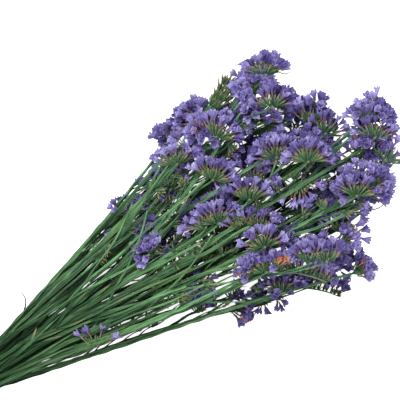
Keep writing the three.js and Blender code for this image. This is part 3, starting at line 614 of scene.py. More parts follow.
# ---- stems ----
def winged_section(size, twist, wave, phase):
    """The section of a winged stem: three thin wings on a core. Each wing has a root, an edge on either
    side of its rim, and a root again, and between two wings lies the core. size, twist, wave and phase
    are given for each ring; the rims wave to the sides."""
    points, edges = [], []
    for k in range(3):
        angle = twist + 2 * np.pi * k / 3
        d = np.stack([np.cos(angle), np.sin(angle)], -1)
        p = np.stack([-np.sin(angle), np.cos(angle)], -1)
        lean = (wave * np.sin(phase * (1 + 0.13 * k) + 2 * k))[:, None]
        reach = (size * (1 + 0.07 * np.sin(phase * 1.7 + k)))[:, None]
        core = np.minimum(CORE_RADIUS, 0.5 * size)[:, None]
        root = 0.9 * core
        points += [
            root * d - WING_ROOT * p,
            reach * d + (lean - WING_HALF) * p,
            reach * d + (lean + WING_HALF) * p,
            root * d + WING_ROOT * p,
            core * (0.5 * d + np.sqrt(0.75) * p),
        ]
        # edge: 1 at the wings' rims, where the stem colour is paler, partly as a painted highlight
        edges += [0.2, 1, 1, 0.2, 0]
    return np.stack(points, 1), np.array(edges)


def winged_stem(spray, tone):
    """A spray's stem from its cut end to the fork, turning slowly one way and back as it goes."""
    x = np.linspace(BUTT_X, spray.reach, round((spray.reach - BUTT_X) / STEM_RING))
    turn = np.radians(STEM_TWIST) * np.sin(2 * np.pi * (x / STEM_TWIST_WAVE + draw(spray.number + 40)))
    slim = 1 - WING_SLIM * np.clip(x / SLIM_FROM, 0, 1)
    phase = x / WING_WAVE_STEP + 9 * draw(spray.number)
    section, edge = winged_section(slim * wing_size(spray, x), turn, WING_WAVE * np.ones_like(x), phase)
    return tube_part(stem_point(spray, x), section, tone, edge, seed=spray.number)


def strand(spray, side, tone):
    """A thin side stem that grows out of a spray's stem at a low angle, runs beside it and ends in a tuft
    of bracts. It moves away in proportion to a smooth step."""
    start = rng.uniform(*STRAND_FROM)
    end = spray.reach * rng.uniform(*STRAND_TO)
    x = np.linspace(start, end, round((end - start) / 7))
    t = (x - start) / (end - start)
    away = t * t * (3 - 2 * t) + 0.25 * np.sin(np.pi * t)
    path = stem_point(spray, x)
    path[:, 1] += (side * rng.uniform(*STRAND_ASIDE) - 0.06 * path[-1, 1]) * away
    path[:, 1] += rng.uniform(1, 3) * np.sin(2 * np.pi * (1.3 * t + rng.uniform())) * t
    path[:, 2] += rng.uniform(-STRAND_UP, STRAND_UP) * away
    path[:, 2] = np.maximum(path[:, 2], 2)
    size = STRAND_RADIUS * rng.uniform(0.85, 1.25) * (1 - 0.4 * t)
    section, edge = winged_section(size, 3 * t + rng.uniform(0, 3), 0.2 * np.ones_like(x), x / 5)
    made = [tube_part(path, section, tone, edge, seed=spray.number + side)]
    way = unit(path[-1] - path[-3])
    made.append(bracts(np.repeat(path[-1:], STRAND_BRACTS, 0), way, STRAND_BRACT))
    return made


def blade(spray, start, length, side, half, roll, tone):
    """A narrow leaf that grows out of a stem at start, lies beside it and moves off to its side."""
    t = np.linspace(0, 1, round(length / 6))
    path = stem_point(spray, start + length * t)
    path[:, 1] += side * t
    path[:, 2] = np.maximum(path[:, 2] + rng.uniform(1, 7) * np.sin(np.pi * t) + 1.5, 2)
    return leaf(path, half, roll, tone)


def free_leaf(foot, tip, share, half, roll, tone, dry):
    """A leaf from one seen place to another, which arches up a little on its way. Its foot is kept to the
    millimetre, and its angles and length to 5 degrees and 5 mm."""
    foot, tip = seen(*foot, share), seen(*tip, share)
    run = tip - foot
    length = np.linalg.norm(run)
    face, lift = np.degrees([np.arctan2(run[1], run[0]), np.arcsin(run[2] / length)])
    face, lift, length = 5 * np.round(np.array([face, lift, length]) / 5)
    t = np.linspace(0, 1, max(6, round(length / 5)))[:, None]
    path = np.round(foot) + length * t * direction(face, lift)
    path[:, 1:] += 0.05 * length * np.sin(np.pi * t) * [rng.uniform(-1, 1), 1]
    return leaf(path, half, roll, tone, dry)


def leaf(path, half, roll, tone, dry=0):
    """A leaf along a path. Its half width follows a sine of the share ** 0.7 of its length, it is folded
    along its keel, and it rolls as it goes."""
    t = np.linspace(0, 1, len(path))
    wide = np.maximum(half * np.sin(np.pi * t**0.7), 0.1)
    turn = roll * (1 - 0.8 * t)
    d = np.stack([np.cos(turn), np.sin(turn)], -1)
    p = np.stack([-np.sin(turn), np.cos(turn)], -1)
    keel = 0.25 * wide[:, None] * p
    thin = np.minimum(0.2, wide)[:, None] * p
    section = np.stack([wide[:, None] * d, thin - keel, -wide[:, None] * d, -thin - keel], 1)
    return tube_part(path, section, tone, np.array([1, 0, 1, 0]), dry, seed=path[0, 0])


def tendril(a, b, c, radius):
    """A thin dry thread through three seen places."""
    path = parabola(*seen_points(a, b, c), 24)
    return tube_part(path, round_section(np.linspace(radius, 0.5 * radius, 24), 6), 0.2, 0.2)


def seen_points(*places):
    """Seen places, to the millimetre."""
    return [np.round(seen(*place)) for place in places]


def parabola(a, b, c, count):
    """So many points on the parabola that starts at a, passes b half way and ends at c."""
    t = np.linspace(0, 1, count)[:, None]
    return (1 - t) ** 2 * a + 2 * t * (1 - t) * (2 * b - (a + c) / 2) + t**2 * c


def branch(head, radius, tone):
    """The thin winged branch of a side head or a sprig, through its three points."""
    t = np.linspace(0, 1, 10)
    section, edge = winged_section(radius * (1 - 0.35 * t), 3 * t, np.full(10, 0.15), 9 * t)
    return tube_part(parabola(*head.branch, 10), section, tone, edge)


def stalk(a, b, c, radius, tone):
    """A winged stalk through three seen places, which wavers a little as it goes."""
    t = np.linspace(0, 1, 32)
    path = parabola(*seen_points(a, b, c), 32)
    path[:, 1] += 1.2 * np.sin(2 * np.pi * (1.6 * t + rng.uniform()))
    twist = 2 * t + rng.uniform(0, 2)
    section, edge = winged_section(radius * (1 - 0.3 * t), twist, np.full(32, 0.3), 20 * t)
    return tube_part(path, section, tone, edge, seed=10 * rng.uniform())


def bracts(origin, way, kind):
    """Pointed leaves of one kind that start at their origins and bend away from the way the stem goes. A
    leaf's half width is width * sin(pi * share ** 0.7), its section is a flat rhomb, and it bends out as
    the share squared."""
    shortest, longest, width, open_out = kind
    count = len(origin)
    length = rng.uniform(shortest, longest, count)
    share = np.linspace(0, 1, BRACT_RINGS)
    turn = rng.uniform(0, 2 * np.pi, count)
    half = np.maximum(width * np.sin(np.pi * share**0.7) * (1 - 0.3 * share), 0.04)
    z = length[:, None] * share
    out = length[:, None] * open_out * share**2
    thick = np.minimum(BRACT_THICKNESS, half)
    corner = np.array([[1, 0], [0, 1], [-1, 0], [0, -1]])
    x = out[..., None] + thick[:, None] * corner[:, 1]
    y = np.broadcast_to(half[:, None] * corner[:, 0], x.shape)
    rings = np.stack([x, y, np.broadcast_to(z[..., None], x.shape)], -1).reshape(count, -1, 3)
    middle = np.stack([out, 0 * out, z], -1)
    local = np.concatenate([rings, middle[:, :1], middle[:, -1:]], 1)
    way = np.broadcast_to(way, (count, 3))
    across = unit(np.cross(way, [0.3, 0.2, 0.93]))
    side = across * np.cos(turn)[:, None] + np.cross(way, across) * np.sin(turn)[:, None]
    points = stamp(local, origin, way, side)
    along = ring_values(share, 4)
    tone = rng.uniform(0, 1, (count, 1))
    faces = copies(tube_faces(BRACT_RINGS, 4)[:, ::-1], count, local.shape[1])
    return part(points, faces, local + 5 * tone[..., None], along, 0.5, tone, finish=1)


# ---- heads ----
def seats(rib, solid):
    """Where the florets of a rib stand: rows across it, fanned about the rib, at even steps along it. A
    row has as many as its room between the next ribs takes, and each is a little out of line. Only those
    near the solid flowers are kept. Gives each one's root on the rib and the way it points."""
    radius = rib.head.radius
    per_rim = 1 / (1 + RIM_HEIGHT / radius)
    far = (rib.head.florets + 0.45) * CALYX_PITCH * per_rim
    first = 0.75 * FLORET_PITCH * per_rim if rib.head.ribs > 1 else 0.6 * FLORET_PITCH * per_rim
    roots, ways = [], []
    for k, s in enumerate(np.arange(first, far, FLORET_PITCH * per_rim)):
        room = rib.wedge * (radius + RIM_HEIGHT) * np.sin(min(s / radius, np.pi / 2)) - RIB_GAP
        half = min(CALYX_RIM, room) - 0.55 * FLORET_RIM
        rows = max(1, 1 + int(2 * half / FLORET_ROW + 0.35 * (k % 2)))
        for j in range(rows):
            tilt = (j - (rows - 1) / 2) * FLORET_ROW / RIM_HEIGHT + rng.normal(0, 0.05)
            at = s + rng.normal(0, 0.1) * FLORET_PITCH * per_rim
            way = rib_normal(rib, at) * np.cos(tilt) + rib.flat * np.sin(tilt)
            roots.append(rib_point(rib, at))
            ways.append(way)
    kept = [
        i for i, (root, way) in enumerate(zip(roots, ways))
        if near(solid, root + way * (RIM_HEIGHT - 3))
    ]
    return [(roots[i], ways[i]) for i in kept]


def near(solid, point):
    """Whether a solid's surface lies within KEEP_WITHIN of a point."""
    return solid.find_nearest(Vector(point * MM + SHIFT), KEEP_WITHIN * MM)[0] is not None


def solid_of(node):
    """A search tree of a solid node's faces."""
    mesh = frame["nodes"][node].data
    points = [v.co for v in mesh.vertices]
    return BVHTree.FromPolygons(points, [tuple(p.vertices) for p in mesh.polygons])


def funnel_faces():
    """The triangles of a calyx, ring by ring as in CALYX_RINGS. Each ring of n points meets one of 2n in n
    fans of three."""
    _, throat, rim, hollow, bottom = np.cumsum([0, *CALYX_RINGS[:-1]])

    def fans(low, high, n):
        """The triangles between the ring of n points that starts at low and that of 2n at high."""
        i = np.arange(n)
        near_side, far_side = (2 * i - 1) % (2 * n), 2 * i + 1
        right = (i + 1) % n
        return np.concatenate([
            np.stack([low + i, high + 2 * i, high + near_side], -1),
            np.stack([low + i, high + far_side, high + 2 * i], -1),
            np.stack([low + i, low + right, high + far_side], -1),
        ])

    under = np.array([[0, 2, 1], [0, 3, 2], [0, 4, 3]])
    inside = fans(hollow, rim, 10)[:, ::-1]
    i = np.arange(10)
    middle = np.stack([np.full(10, bottom), hollow + i, hollow + (i + 1) % 10], -1)
    return np.concatenate([under, fans(0, throat, 5), fans(throat, rim, 10), inside, middle])


def calyxes(origin, way, tone, faded, size=1.0, scale=1.0):
    """Pleated papery funnels that stand on their spikelets. A rim of 20 points goes out at the ten pleats
    and in between them, and up at the five lobes, and every point of it is crinkled by a little noise.
    size widens a funnel, and scale enlarges all of it. A faded one is half closed."""
    count = len(origin)
    length = (RIM_HEIGHT - CALYX_FOOT) * rng.uniform(0.88, 1.12, (count, 1)) * size**0.5
    rim = FLORET_RIM * size * rng.uniform(0.85, 1.15, (count, 1))
    rim = np.where(faded[:, None] > 0.5, 0.55 * rim, rim)

    def ring(n, radius, height):
        """n points round each funnel's axis."""
        angle = 2 * np.pi * np.arange(n) / n
        height = np.broadcast_to(height, (count, n))
        return np.stack([radius * np.cos(angle), radius * np.sin(angle), height], -1)

    k = np.arange(20)
    pleat = np.where(k % 2 == 0, 1.0, 0.84)
    lobe = np.cos(2 * np.pi * k / 4)
    noise = rng.normal(0, 1, (2, count, 20))
    out, up = pleat + 0.08 * lobe + 0.1 * noise[0], 1 + 0.07 * lobe + 0.09 * noise[1]
    radii = [np.full((count, 1), 0.6), 0.42 * rim, rim * out, 0.47 * rim, np.zeros((count, 1))]
    heights = [np.zeros((count, 1)), 0.46 * length, length * up, 0.68 * length, 0.42 * length]
    local = np.concatenate([ring(*row) for row in zip(CALYX_RINGS, radii, heights)], 1)
    local[..., 0] *= rng.uniform(0.82, 1.12, (count, 1))
    local[..., 2] += CALYX_FOOT - CALYX_SUNK
    local *= scale
    lean = unit(way + rng.normal(0, 0.15, (count, 3)))
    origin = origin + way * rng.normal(0, 0.8, (count, 1))
    points = stamp(local, origin, lean, rng.normal(0, 1, (count, 3)))
    # along: 0 at the foot, 1 at the rim; it sets the peach throat and the painted shade inside the funnel
    along = np.repeat([0, 0.45, 1, 0.62, 0.25], CALYX_RINGS)
    # edge: how much painted highlight each ring gets, 1 on the pleats' ridges at the rim and 0 in the folds
    edge = np.repeat([0.5, 0.7, 0, 0.6, 0.3], CALYX_RINGS)
    edge[RIM_POINTS] = k % 2 == 0
    faces = copies(funnel_faces(), count, local.shape[1])
    made = part(points, faces, local + 9 * tone[:, None, None], along, edge, tone[:, None])
    made.faded = np.repeat(faded, local.shape[1])
    return made


def spikelets(origin, way, size=1.0, slim=1.0):
    """Green spindles from the rib to the calyxes: four-sided rings whose radius swells towards the top and
    ends in a point that clasps the calyx."""
    count = len(origin)
    share = np.array([0.03, 0.3, 0.66, 0.92, 1.12])
    radius = np.array([0.3, 0.6, 0.95, 0.7, 0.1])
    angle = np.pi * np.arange(4) / 2
    grow = rng.uniform(0.85, 1.1, (count, 1, 1))
    lean = rng.normal(0, 0.25, (count, 1, 2)) * share[:, None] ** 2
    z = np.broadcast_to((SPIKELET_LENGTH * share)[:, None] * grow, (count, 5, 4))
    x = radius[:, None] * np.cos(angle) + lean[..., :1]
    y = radius[:, None] * np.sin(angle) + lean[..., 1:]
    rings = np.stack([x, y, z], -1).reshape(count, 20, 3)
    poles = rings.reshape(count, 5, 4, 3).mean(2)
    local = size * np.concatenate([rings, poles[:, :1], poles[:, -1:]], 1) * [slim, slim, 1]
    points = stamp(local, origin, way, rng.normal(0, 1, (count, 3)))
    faces = copies(tube_faces(5, 4), count, 22)
    tone = rng.uniform(0, 1, (count, 1))
    along = ring_values(share / share[-1], 4)
    return part(points, faces, local + 5 * tone[..., None], along, 0.5, tone, finish=1)


def round_section(radius, corners):
    """A ring of so many corners for each radius."""
    angle = 2 * np.pi * np.arange(corners) / corners
    circle = np.stack([np.cos(angle), np.sin(angle)], -1)
    return radius[:, None, None] * circle


def rib_branch(rib, end):
    """The thin green branch that carries a rib's spikelets."""
    s = np.linspace(0, end, max(3, round(end / 2)))
    section = round_section(np.linspace(*RIB_BRANCH, len(s)), 6)
    return tube_part(rib_point(rib, s), section, 0.5, 0.3, finish=1, reference=rib.flat)


def knob(head, size=1.0):
    """The swollen fork: a spindle of rings whose radius is a half sine of the way along it."""
    share = np.linspace(0, 1, 8)
    path = head.fork + head.along * (share[:, None] * KNOB_LENGTH - KNOB_BACK) * size
    section = round_section(size * (KNOB_END + KNOB_SWELL * np.sin(np.pi * share)), 8)
    return tube_part(path, section, 0.4, 0.3, finish=1)


def dress_head(head, node):
    """A head's green parts and its violet parts. The calyxes stand where the solid node has its own."""
    solid = solid_of(node)
    roots, ways, green = [head.fork + head.facing], [head.facing], [knob(head)]
    for rib in ribs_of(head):
        found = seats(rib, solid)
        if not found:
            continue
        roots += [root for root, _ in found]
        ways += [way for _, way in found]
        reach = np.linalg.norm(found[-1][0] - head.fork)
        angle = 2 * np.arcsin(min(1, reach / 2 / head.radius))
        green.append(rib_branch(rib, head.radius * angle + 1))
    roots, ways = np.array(roots), np.array(ways)
    green.append(spikelets(roots, ways))
    if head.ribs == 1:
        twice = np.repeat(roots, 2, 0)
        apart = unit(np.repeat(ways, 2, 0) + 0.3 * rng.normal(0, 1, twice.shape))
        green.append(bracts(twice, apart, COMB_BRACT))
    back = unit(head.along + head.facing + 0.6 * rng.normal(0, 1, (HEAD_BRACTS, 3)))
    foot = np.repeat(head.fork[None], HEAD_BRACTS, 0)
    green.append(bracts(foot, back, HEAD_BRACT))
    tone = np.clip(rng.normal(0.5, 0.3, len(roots)) + 0.25 * (draw(head.number + 80) - 0.5), 0, 1)
    faded = dried(roots + ways * RIM_HEIGHT)
    faded = np.maximum(faded, (rng.uniform(0, 1, len(roots)) < FADED_SHARE) * FADED)
    return green, [calyxes(roots, ways, tone, faded)]


def dried(rims):
    """1 for each rim that lies in the tuft that has dried to orange, and 0 for the others."""
    return (np.linalg.norm(rims[:, :2] - DRIED_AT, axis=1) < DRIED_REACH).astype(float)


def cluster(head, florets, size, tone, radius=SMALL_HEAD_BRANCH, scale=1.0):
    """A thin branch that ends in a small head: its flowers point along a spiral that opens out from the
    facing so that each has the same share of the dome. Gives its green parts and its violet ones."""
    k = np.arange(florets)
    away = np.arccos(1 - CLUSTER_OPEN * (k + 0.3))
    turn = 2.4 * k + rng.uniform(0, 6)
    across = unit(np.cross(head.facing, [0.2, 0.3, 0.93]))
    other = np.cross(head.facing, across)
    ways = (
        head.facing * np.cos(away)[:, None]
        + (across * np.cos(turn)[:, None] + other * np.sin(turn)[:, None]) * np.sin(away)[:, None]
    )
    ways = unit(ways + 0.1 * rng.normal(0, 1, (florets, 3)))
    tips = head.fork + ways * RIM_HEIGHT
    ways = ways[np.all((tips > BOX_LOW + 2) & (tips < BOX_HIGH - 2), axis=1)]
    florets = len(ways)
    roots = head.fork + ways * rng.uniform(-1, 2.5, (florets, 1))
    foot = np.repeat(head.fork[None], SMALL_HEAD_BRACTS, 0)
    back = unit(head.along + 0.4 * head.facing)
    green = [branch(head, radius, tone), knob(head, 0.6 * scale), spikelets(roots, ways, scale)]
    green.append(bracts(foot, back, SMALL_HEAD_BRACT))
    faded = dried(roots + ways * RIM_HEIGHT)
    tones = np.clip(tone + rng.normal(0, 0.35, florets), 0, 1)
    return green, [calyxes(roots, ways, tones, faded, size, scale)]


def branches_off(spray, fork):
    """The x at which a branch to a fork leaves a stem: a little way back of it."""
    return min(fork[0] - BRANCH_BACK, spray.reach - BRANCH_LAST)


def nearest_spray(sprays, fork):
    """The spray whose stem passes nearest to the line from the tie to a fork, where a branch leaves it."""
    def miss(spray):
        """How far a spray's stem passes from that line."""
        at = branches_off(spray, fork)
        return np.linalg.norm(stem_point(spray, at) - fork * at / fork[0])

    return min((spray for spray in sprays if spray.number != BUD), key=miss)


def tuft_fork(right, down, share, face, lift):
    """The fork of a small head whose flowers are seen at right and down: TUFT_DEPTH behind them, to the
    millimetre."""
    x, y, z = np.round(seen(right, down, share) - TUFT_DEPTH * direction(face, lift))
    return np.array([x, y, max(z, TUFT_LOWEST)])


def offshoot(spray, fork, face, lift):
    """A small head's fork and facing, on a branch that bows out of a stem a little way back."""
    facing = direction(face, lift)
    at = branches_off(spray, fork)
    start = stem_point(spray, at)
    along = unit(stem_point(spray, at + TIP) - start)
    middle = (start + fork) / 2 + BRANCH_BOW * np.linalg.norm(fork - start) * (along - facing)
    return SimpleNamespace(
        fork=fork, along=unit(fork - middle), facing=facing, branch=(start, middle, fork)
    )


def fan(head, face, spread, count, flowering, tone):
    """An open fan that shows its side: long spikelets in three tiers that each rise more steeply, as far as
    the bunch's height allows. So many of the tiers, from the low one up, carry an arc of calyxes, and the
    others are bare."""
    share = np.arange(count) / (count - 1) - 0.5 + rng.normal(0, 0.012, count)
    turn = np.radians(face + spread * share) + rng.normal(0, 0.06, count)
    tier = np.arange(count) % 3
    lift = np.radians(np.array(FAN_TIERS)[tier] + rng.normal(0, 4, count))
    room = (BOX_HIGH[2] - head.fork[2] - FLORET_RIM) / (RIM_HEIGHT + 6)
    lift = np.minimum(lift, np.arcsin(np.clip(room, 0.05, 1)))
    ways = np.stack([np.cos(turn) * np.cos(lift), np.sin(turn) * np.cos(lift), np.sin(lift)], -1)
    across = direction(face + 90, 0)
    roots = head.fork + ways * rng.uniform(0, 3, (count, 1)) + FAN_WIDTH * share[:, None] * across
    apart = unit(ways + 0.15 * rng.normal(0, 1, ways.shape))
    sheath = bracts(roots, apart, FAN_BRACT)
    green = [branch(head, SMALL_HEAD_BRANCH, tone), knob(head, 0.6)]
    green += [spikelets(roots, ways, FAN_SPIKELET, FAN_SLIM), sheath]
    arc = tier < flowering
    tones = np.clip(0.5 + rng.normal(0, 0.3, arc.sum()), 0, 1)
    faded = dried(roots[arc] + ways[arc] * RIM_HEIGHT)
    return green, [calyxes(roots[arc] + FAN_STEP * ways[arc], ways[arc], tones, faded, 0.9)]


def thicket(spray, tone):
    """The small dry side twigs in the upper half of a stem, which fill the room between the heads. They
    fork off to the sides within the bunch's own width, and end in spikelets, some with a calyx."""
    green, violet = [], []
    for _ in range(TWIGS):
        at = spray.reach * rng.uniform(TWIG_FROM, TWIG_TO)
        side = rng.choice([-1, 1])
        face, lift = side * rng.uniform(*TWIG_FACE), rng.uniform(*TWIG_LIFT)
        length = rng.uniform(*TWIG_LENGTH)
        florets = rng.integers(*TWIG_FLOWERS)
        tip = side_head(spray, at, length, face, lift, 1, 1)
        x, y, z = tip.fork + tip.facing * RIM_HEIGHT
        if z < TWIG_LOWEST or not BUNCH_EDGE[0] < y / x < BUNCH_EDGE[1] or x > BUNCH_END:
            continue
        bare = rng.uniform() < BARE_TWIGS or x < TWIGS_FLOWER_FROM
        size = rng.uniform(*TWIG_SIZE)
        count = TWIG_BUDS * florets if bare else florets
        more, calyx = cluster(tip, count, size, TWIG_TONE * tone, TWIG_BRANCH)
        green += more
        if not bare:
            violet += calyx
    return green, violet


# ---- the tie ----
def twisted_twine(path, radius, closed, seed):
    """Two-strand twine: two round strands wound about the path in a helix, each half as thick."""
    made = []
    run = np.concatenate([[0], np.cumsum(np.linalg.norm(np.diff(path, axis=0), axis=1))])
    tangent = unit(np.gradient(path, axis=0))
    reference = np.array([1.0, 0, 0]) if closed else np.array([0, 0, 1.0])
    a = unit(np.cross(reference, tangent))
    b = np.cross(tangent, a)
    for k in range(2):
        angle = (2 * np.pi * TWINE_TWIST * run + np.pi * k)[:, None]
        line = path + 0.48 * radius * (a * np.cos(angle) + b * np.sin(angle))
        section = round_section(np.full(len(path), 0.56 * radius), 7)
        made.append(tube_part(line, section, 0.5, 0.5, reference=reference, seed=seed + k))
    return made


def tie_route(sprays):
    """Once round the outer stems, as y and z: in each direction the twine lies off the stem that stands out
    farthest."""
    reach = WING_RADIUS + TWINE_CLEARANCE + TWINE_RADIUS
    angle = np.linspace(0, 2 * np.pi, 97)[:-1] + 0.5 * np.pi
    slots = np.array([[s.slot_y, s.slot_z] for s in sprays])
    way = np.stack([np.cos(angle), np.sin(angle)], -1)
    far = slots[np.argmax(way @ slots.T, axis=1)]
    corners = far + reach * way
    closed = np.vstack([corners, corners[:1]])
    run = np.concatenate([[0], np.cumsum(np.linalg.norm(np.diff(closed, axis=0), axis=1))])
    even = np.linspace(0, run[-1], 200)
    return np.stack([np.interp(even, run, closed[:, i]) for i in range(2)], -1)


def twine_tie(sprays):
    """Three turns of twine side by side, a knot of two crossed loops on top, and two tails."""
    loop = tie_route(sprays)
    made = []
    for t in range(TWINE_TURNS):
        x = (t - (TWINE_TURNS - 1) / 2) * TWINE_PITCH * TWINE_RADIUS
        path = np.column_stack([np.full(len(loop), x), loop])
        path[:, 2] = np.maximum(path[:, 2], 1.02 * TWINE_RADIUS)
        made += twisted_twine(path, TWINE_RADIUS, True, t)
    top = loop[:, 1].max() + TWINE_RADIUS
    for k, (wide, long) in enumerate(KNOT_LOOPS):
        t = np.linspace(0, 2 * np.pi, 60)
        path = np.stack([
            wide * np.sin(t), KNOT_Y + long * np.cos(t), top + 0.9 * np.sin(2 * t + k) + 0.3 * k
        ], -1)
        made += twisted_twine(path, 0.85 * TWINE_RADIUS, False, 5 + k)
    for way in (1, -1):
        t = np.linspace(0, 1, 50)[:, None]
        start = np.array([0, KNOT_Y, top])
        bend = np.array([way * 0.45 * TAIL_LENGTH, KNOT_Y + way * 0.25 * TAIL_LENGTH, top + 3.2])
        end = np.array([way * 0.97 * TAIL_LENGTH, KNOT_Y + way * 0.45 * TAIL_LENGTH, top + 1.2])
        path = (1 - t) ** 2 * start + 2 * t * (1 - t) * bend + t**2 * end
        made += twisted_twine(path, 0.8 * TWINE_RADIUS, False, 8 + way)
    return made


# ---- materials ----
def linear(red, green, blue):
    """A colour given in 0 to 255, as the linear light that a shader takes."""
    c = np.array([red, green, blue]) / 255
    return (*np.where(c < 0.04045, c / 12.92, ((c + 0.055) / 1.055) ** 2.4), 1)


def node(tree, kind, **values):
    """A node with some of its properties or inputs set. An input's spaces are written as _."""
    made = tree.nodes.new("ShaderNode" + kind)
    for key, value in values.items():
        if hasattr(made, key):
            setattr(made, key, value)
        else:
            made.inputs[key.replace("_", " ")].default_value = value
    return made


def mix(tree, share, first, second, blend="MIX"):
    """A colour mixed by share, with links or plain values for each."""
    made = tree.nodes.new("ShaderNodeMix")
    made.data_type = "RGBA"
    made.blend_type = blend
    for socket, value in ((made.inputs[0], share), (made.inputs[6], first), (made.inputs[7], second)):
        if isinstance(value, bpy.types.NodeSocket):
            tree.links.new(value, socket)
        else:
            socket.default_value = value
    return made.outputs[2]


def math_node(tree, operation, *values):
    """A Math node's result, with links or plain values for its inputs."""
    made = tree.nodes.new("ShaderNodeMath")
    made.operation = operation
    for socket, value in zip(made.inputs, values):
        if isinstance(value, bpy.types.NodeSocket):
            tree.links.new(value, socket)
        else:
            socket.default_value = value
    return made.outputs[0]


def between(tree, value, low, high):
    """0 below low, 1 above high, smooth between."""
    made = tree.nodes.new("ShaderNodeMapRange")
    made.interpolation_type = "SMOOTHSTEP"
    tree.links.new(value, made.inputs[0])
    made.inputs[1].default_value = low
    made.inputs[2].default_value = high
    return made.outputs[0]


def attribute(tree, name, output="Fac"):
    """What a mesh holds for each point under this name."""
    made = node(tree, "Attribute", attribute_type="GEOMETRY", attribute_name=name)
    return made.outputs[output]


def dry_grain_group():
    """The grain of a dried plant: streaks that follow the flow of the part, fine fibres and flecks."""
    group = bpy.data.node_groups.new("Dry Grain", "ShaderNodeTree")
    group.interface.new_socket(name="Flow", in_out="INPUT", socket_type="NodeSocketVector")
    group.interface.new_socket(name="Grain", in_out="INPUT", socket_type="NodeSocketFloat")
    for name in ("Streak", "Fibre", "Fleck"):
        group.interface.new_socket(name=name, in_out="OUTPUT", socket_type="NodeSocketFloat")
    inputs = group.nodes.new("NodeGroupInput")
    outputs = group.nodes.new("NodeGroupOutput")
    for name, scale, detail in (("Streak", 0.5, 2), ("Fibre", 2.2, 3), ("Fleck", 0.9, 4)):
        noise = node(group, "TexNoise", Detail=detail, Roughness=0.6)
        size = math_node(group, "MULTIPLY", inputs.outputs["Grain"], scale)
        group.links.new(size, noise.inputs["Scale"])
        if name == "Fleck":
            wide = node(group, "VectorMath", operation="MULTIPLY")
            group.links.new(inputs.outputs["Flow"], wide.inputs[0])
            wide.inputs[1].default_value = (1, 1, 6)
            group.links.new(wide.outputs[0], noise.inputs["Vector"])
        else:
            group.links.new(inputs.outputs["Flow"], noise.inputs["Vector"])
        group.links.new(noise.outputs["Fac"], outputs.inputs[name])
    return group


def dry_grain(tree, group, grain):
    """The grain's outputs in a material, where grain sets how fine it is."""
    made = tree.nodes.new("ShaderNodeGroup")
    made.node_tree = group
    made.inputs["Grain"].default_value = grain
    tree.links.new(attribute(tree, "flow", "Vector"), made.inputs["Flow"])
    return made.outputs


def dry_finish(name, colour_of, bump_distance, grain_size, roughness, **shader):
    """A material: colour_of(tree, grain) gives its colour, and the grain its roughness and bump. shader
    sets plain values on the shader itself."""
    material = bpy.data.materials.new(name)
    material.use_nodes = True
    tree = material.node_tree
    principled = tree.nodes["Principled BSDF"]
    grain = dry_grain(tree, GRAIN, grain_size)
    tree.links.new(colour_of(tree, grain), principled.inputs["Base Color"])
    rough = tree.nodes.new("ShaderNodeMapRange")
    tree.links.new(grain["Fibre"], rough.inputs[0])
    rough.inputs[3].default_value, rough.inputs[4].default_value = roughness
    tree.links.new(rough.outputs[0], principled.inputs["Roughness"])
    bump = node(tree, "Bump", Strength=0.6, Distance=bump_distance * MM)
    tree.links.new(grain["Fibre"], bump.inputs["Height"])
    tree.links.new(bump.outputs[0], principled.inputs["Normal"])
    for key, value in shader.items():
        principled.inputs[key.replace("_", " ")].default_value = value
    return material


def painted_depth_shade(tree, colour, shade_colour, share):
    """The colour multiplied by a darker shade colour, by so much at the table, and not at all at the top of
    the bunch: painted shade for what lies deep in the bunch, under the stems and heads above it."""
    depth = math_node(tree, "MULTIPLY", between(tree, attribute(tree, "depth"), 0.08, 0.65), share)
    return mix(tree, depth, colour, shade_colour, "MULTIPLY")


def stem_colour(tree, grain):
    """Bluish to yellowish green in streaks, paler along the wings' edges, partly as a painted highlight,
    and darker towards the cut end, with a few dry brown flecks. Painted shade darkens it deeper in the
    bunch."""
    deep, bright = linear(12, 44, 28), linear(106, 158, 102)
    streak = math_node(tree, "MULTIPLY", math_node(tree, "SUBTRACT", grain["Streak"], 0.52), 3.4)
    share = math_node(tree, "ADD", attribute(tree, "tone"), streak)
    colour = mix(tree, between(tree, share, 0.0, 1.0), deep, bright)
    blue = between(tree, grain["Fleck"], 0.45, 0.7)
    colour = mix(tree, math_node(tree, "MULTIPLY", blue, 0.35), colour, linear(60, 118, 82))
    wide = node(tree, "TexNoise", Scale=0.12, Detail=1.0)
    tree.links.new(attribute(tree, "flow", "Vector"), wide.inputs["Vector"])
    yellow = math_node(tree, "MULTIPLY", between(tree, wide.outputs["Fac"], 0.48, 0.62), 0.45)
    colour = mix(tree, yellow, colour, linear(102, 132, 68))
    # paler along the wings' edges: partly their own colour, partly a painted highlight
    edge = math_node(tree, "MULTIPLY", attribute(tree, "edge"), 0.4)
    colour = mix(tree, edge, colour, linear(144, 194, 142))
    dry = between(tree, grain["Fleck"], 0.68, 0.76)
    colour = mix(tree, math_node(tree, "MULTIPLY", dry, 0.5), colour, linear(150, 134, 72))
    # darker towards the start of each stem, strand, leaf and stalk, and lighter towards its tip
    tipward = between(tree, attribute(tree, "along"), 0.15, 0.85)
    colour = mix(tree, math_node(tree, "SUBTRACT", 1, tipward), colour, (0.24, 0.33, 0.27, 1), "MULTIPLY")
    # painted shade: darker the deeper it lies in the bunch
    return painted_depth_shade(tree, colour, (0.22, 0.32, 0.27, 1), 0.95)


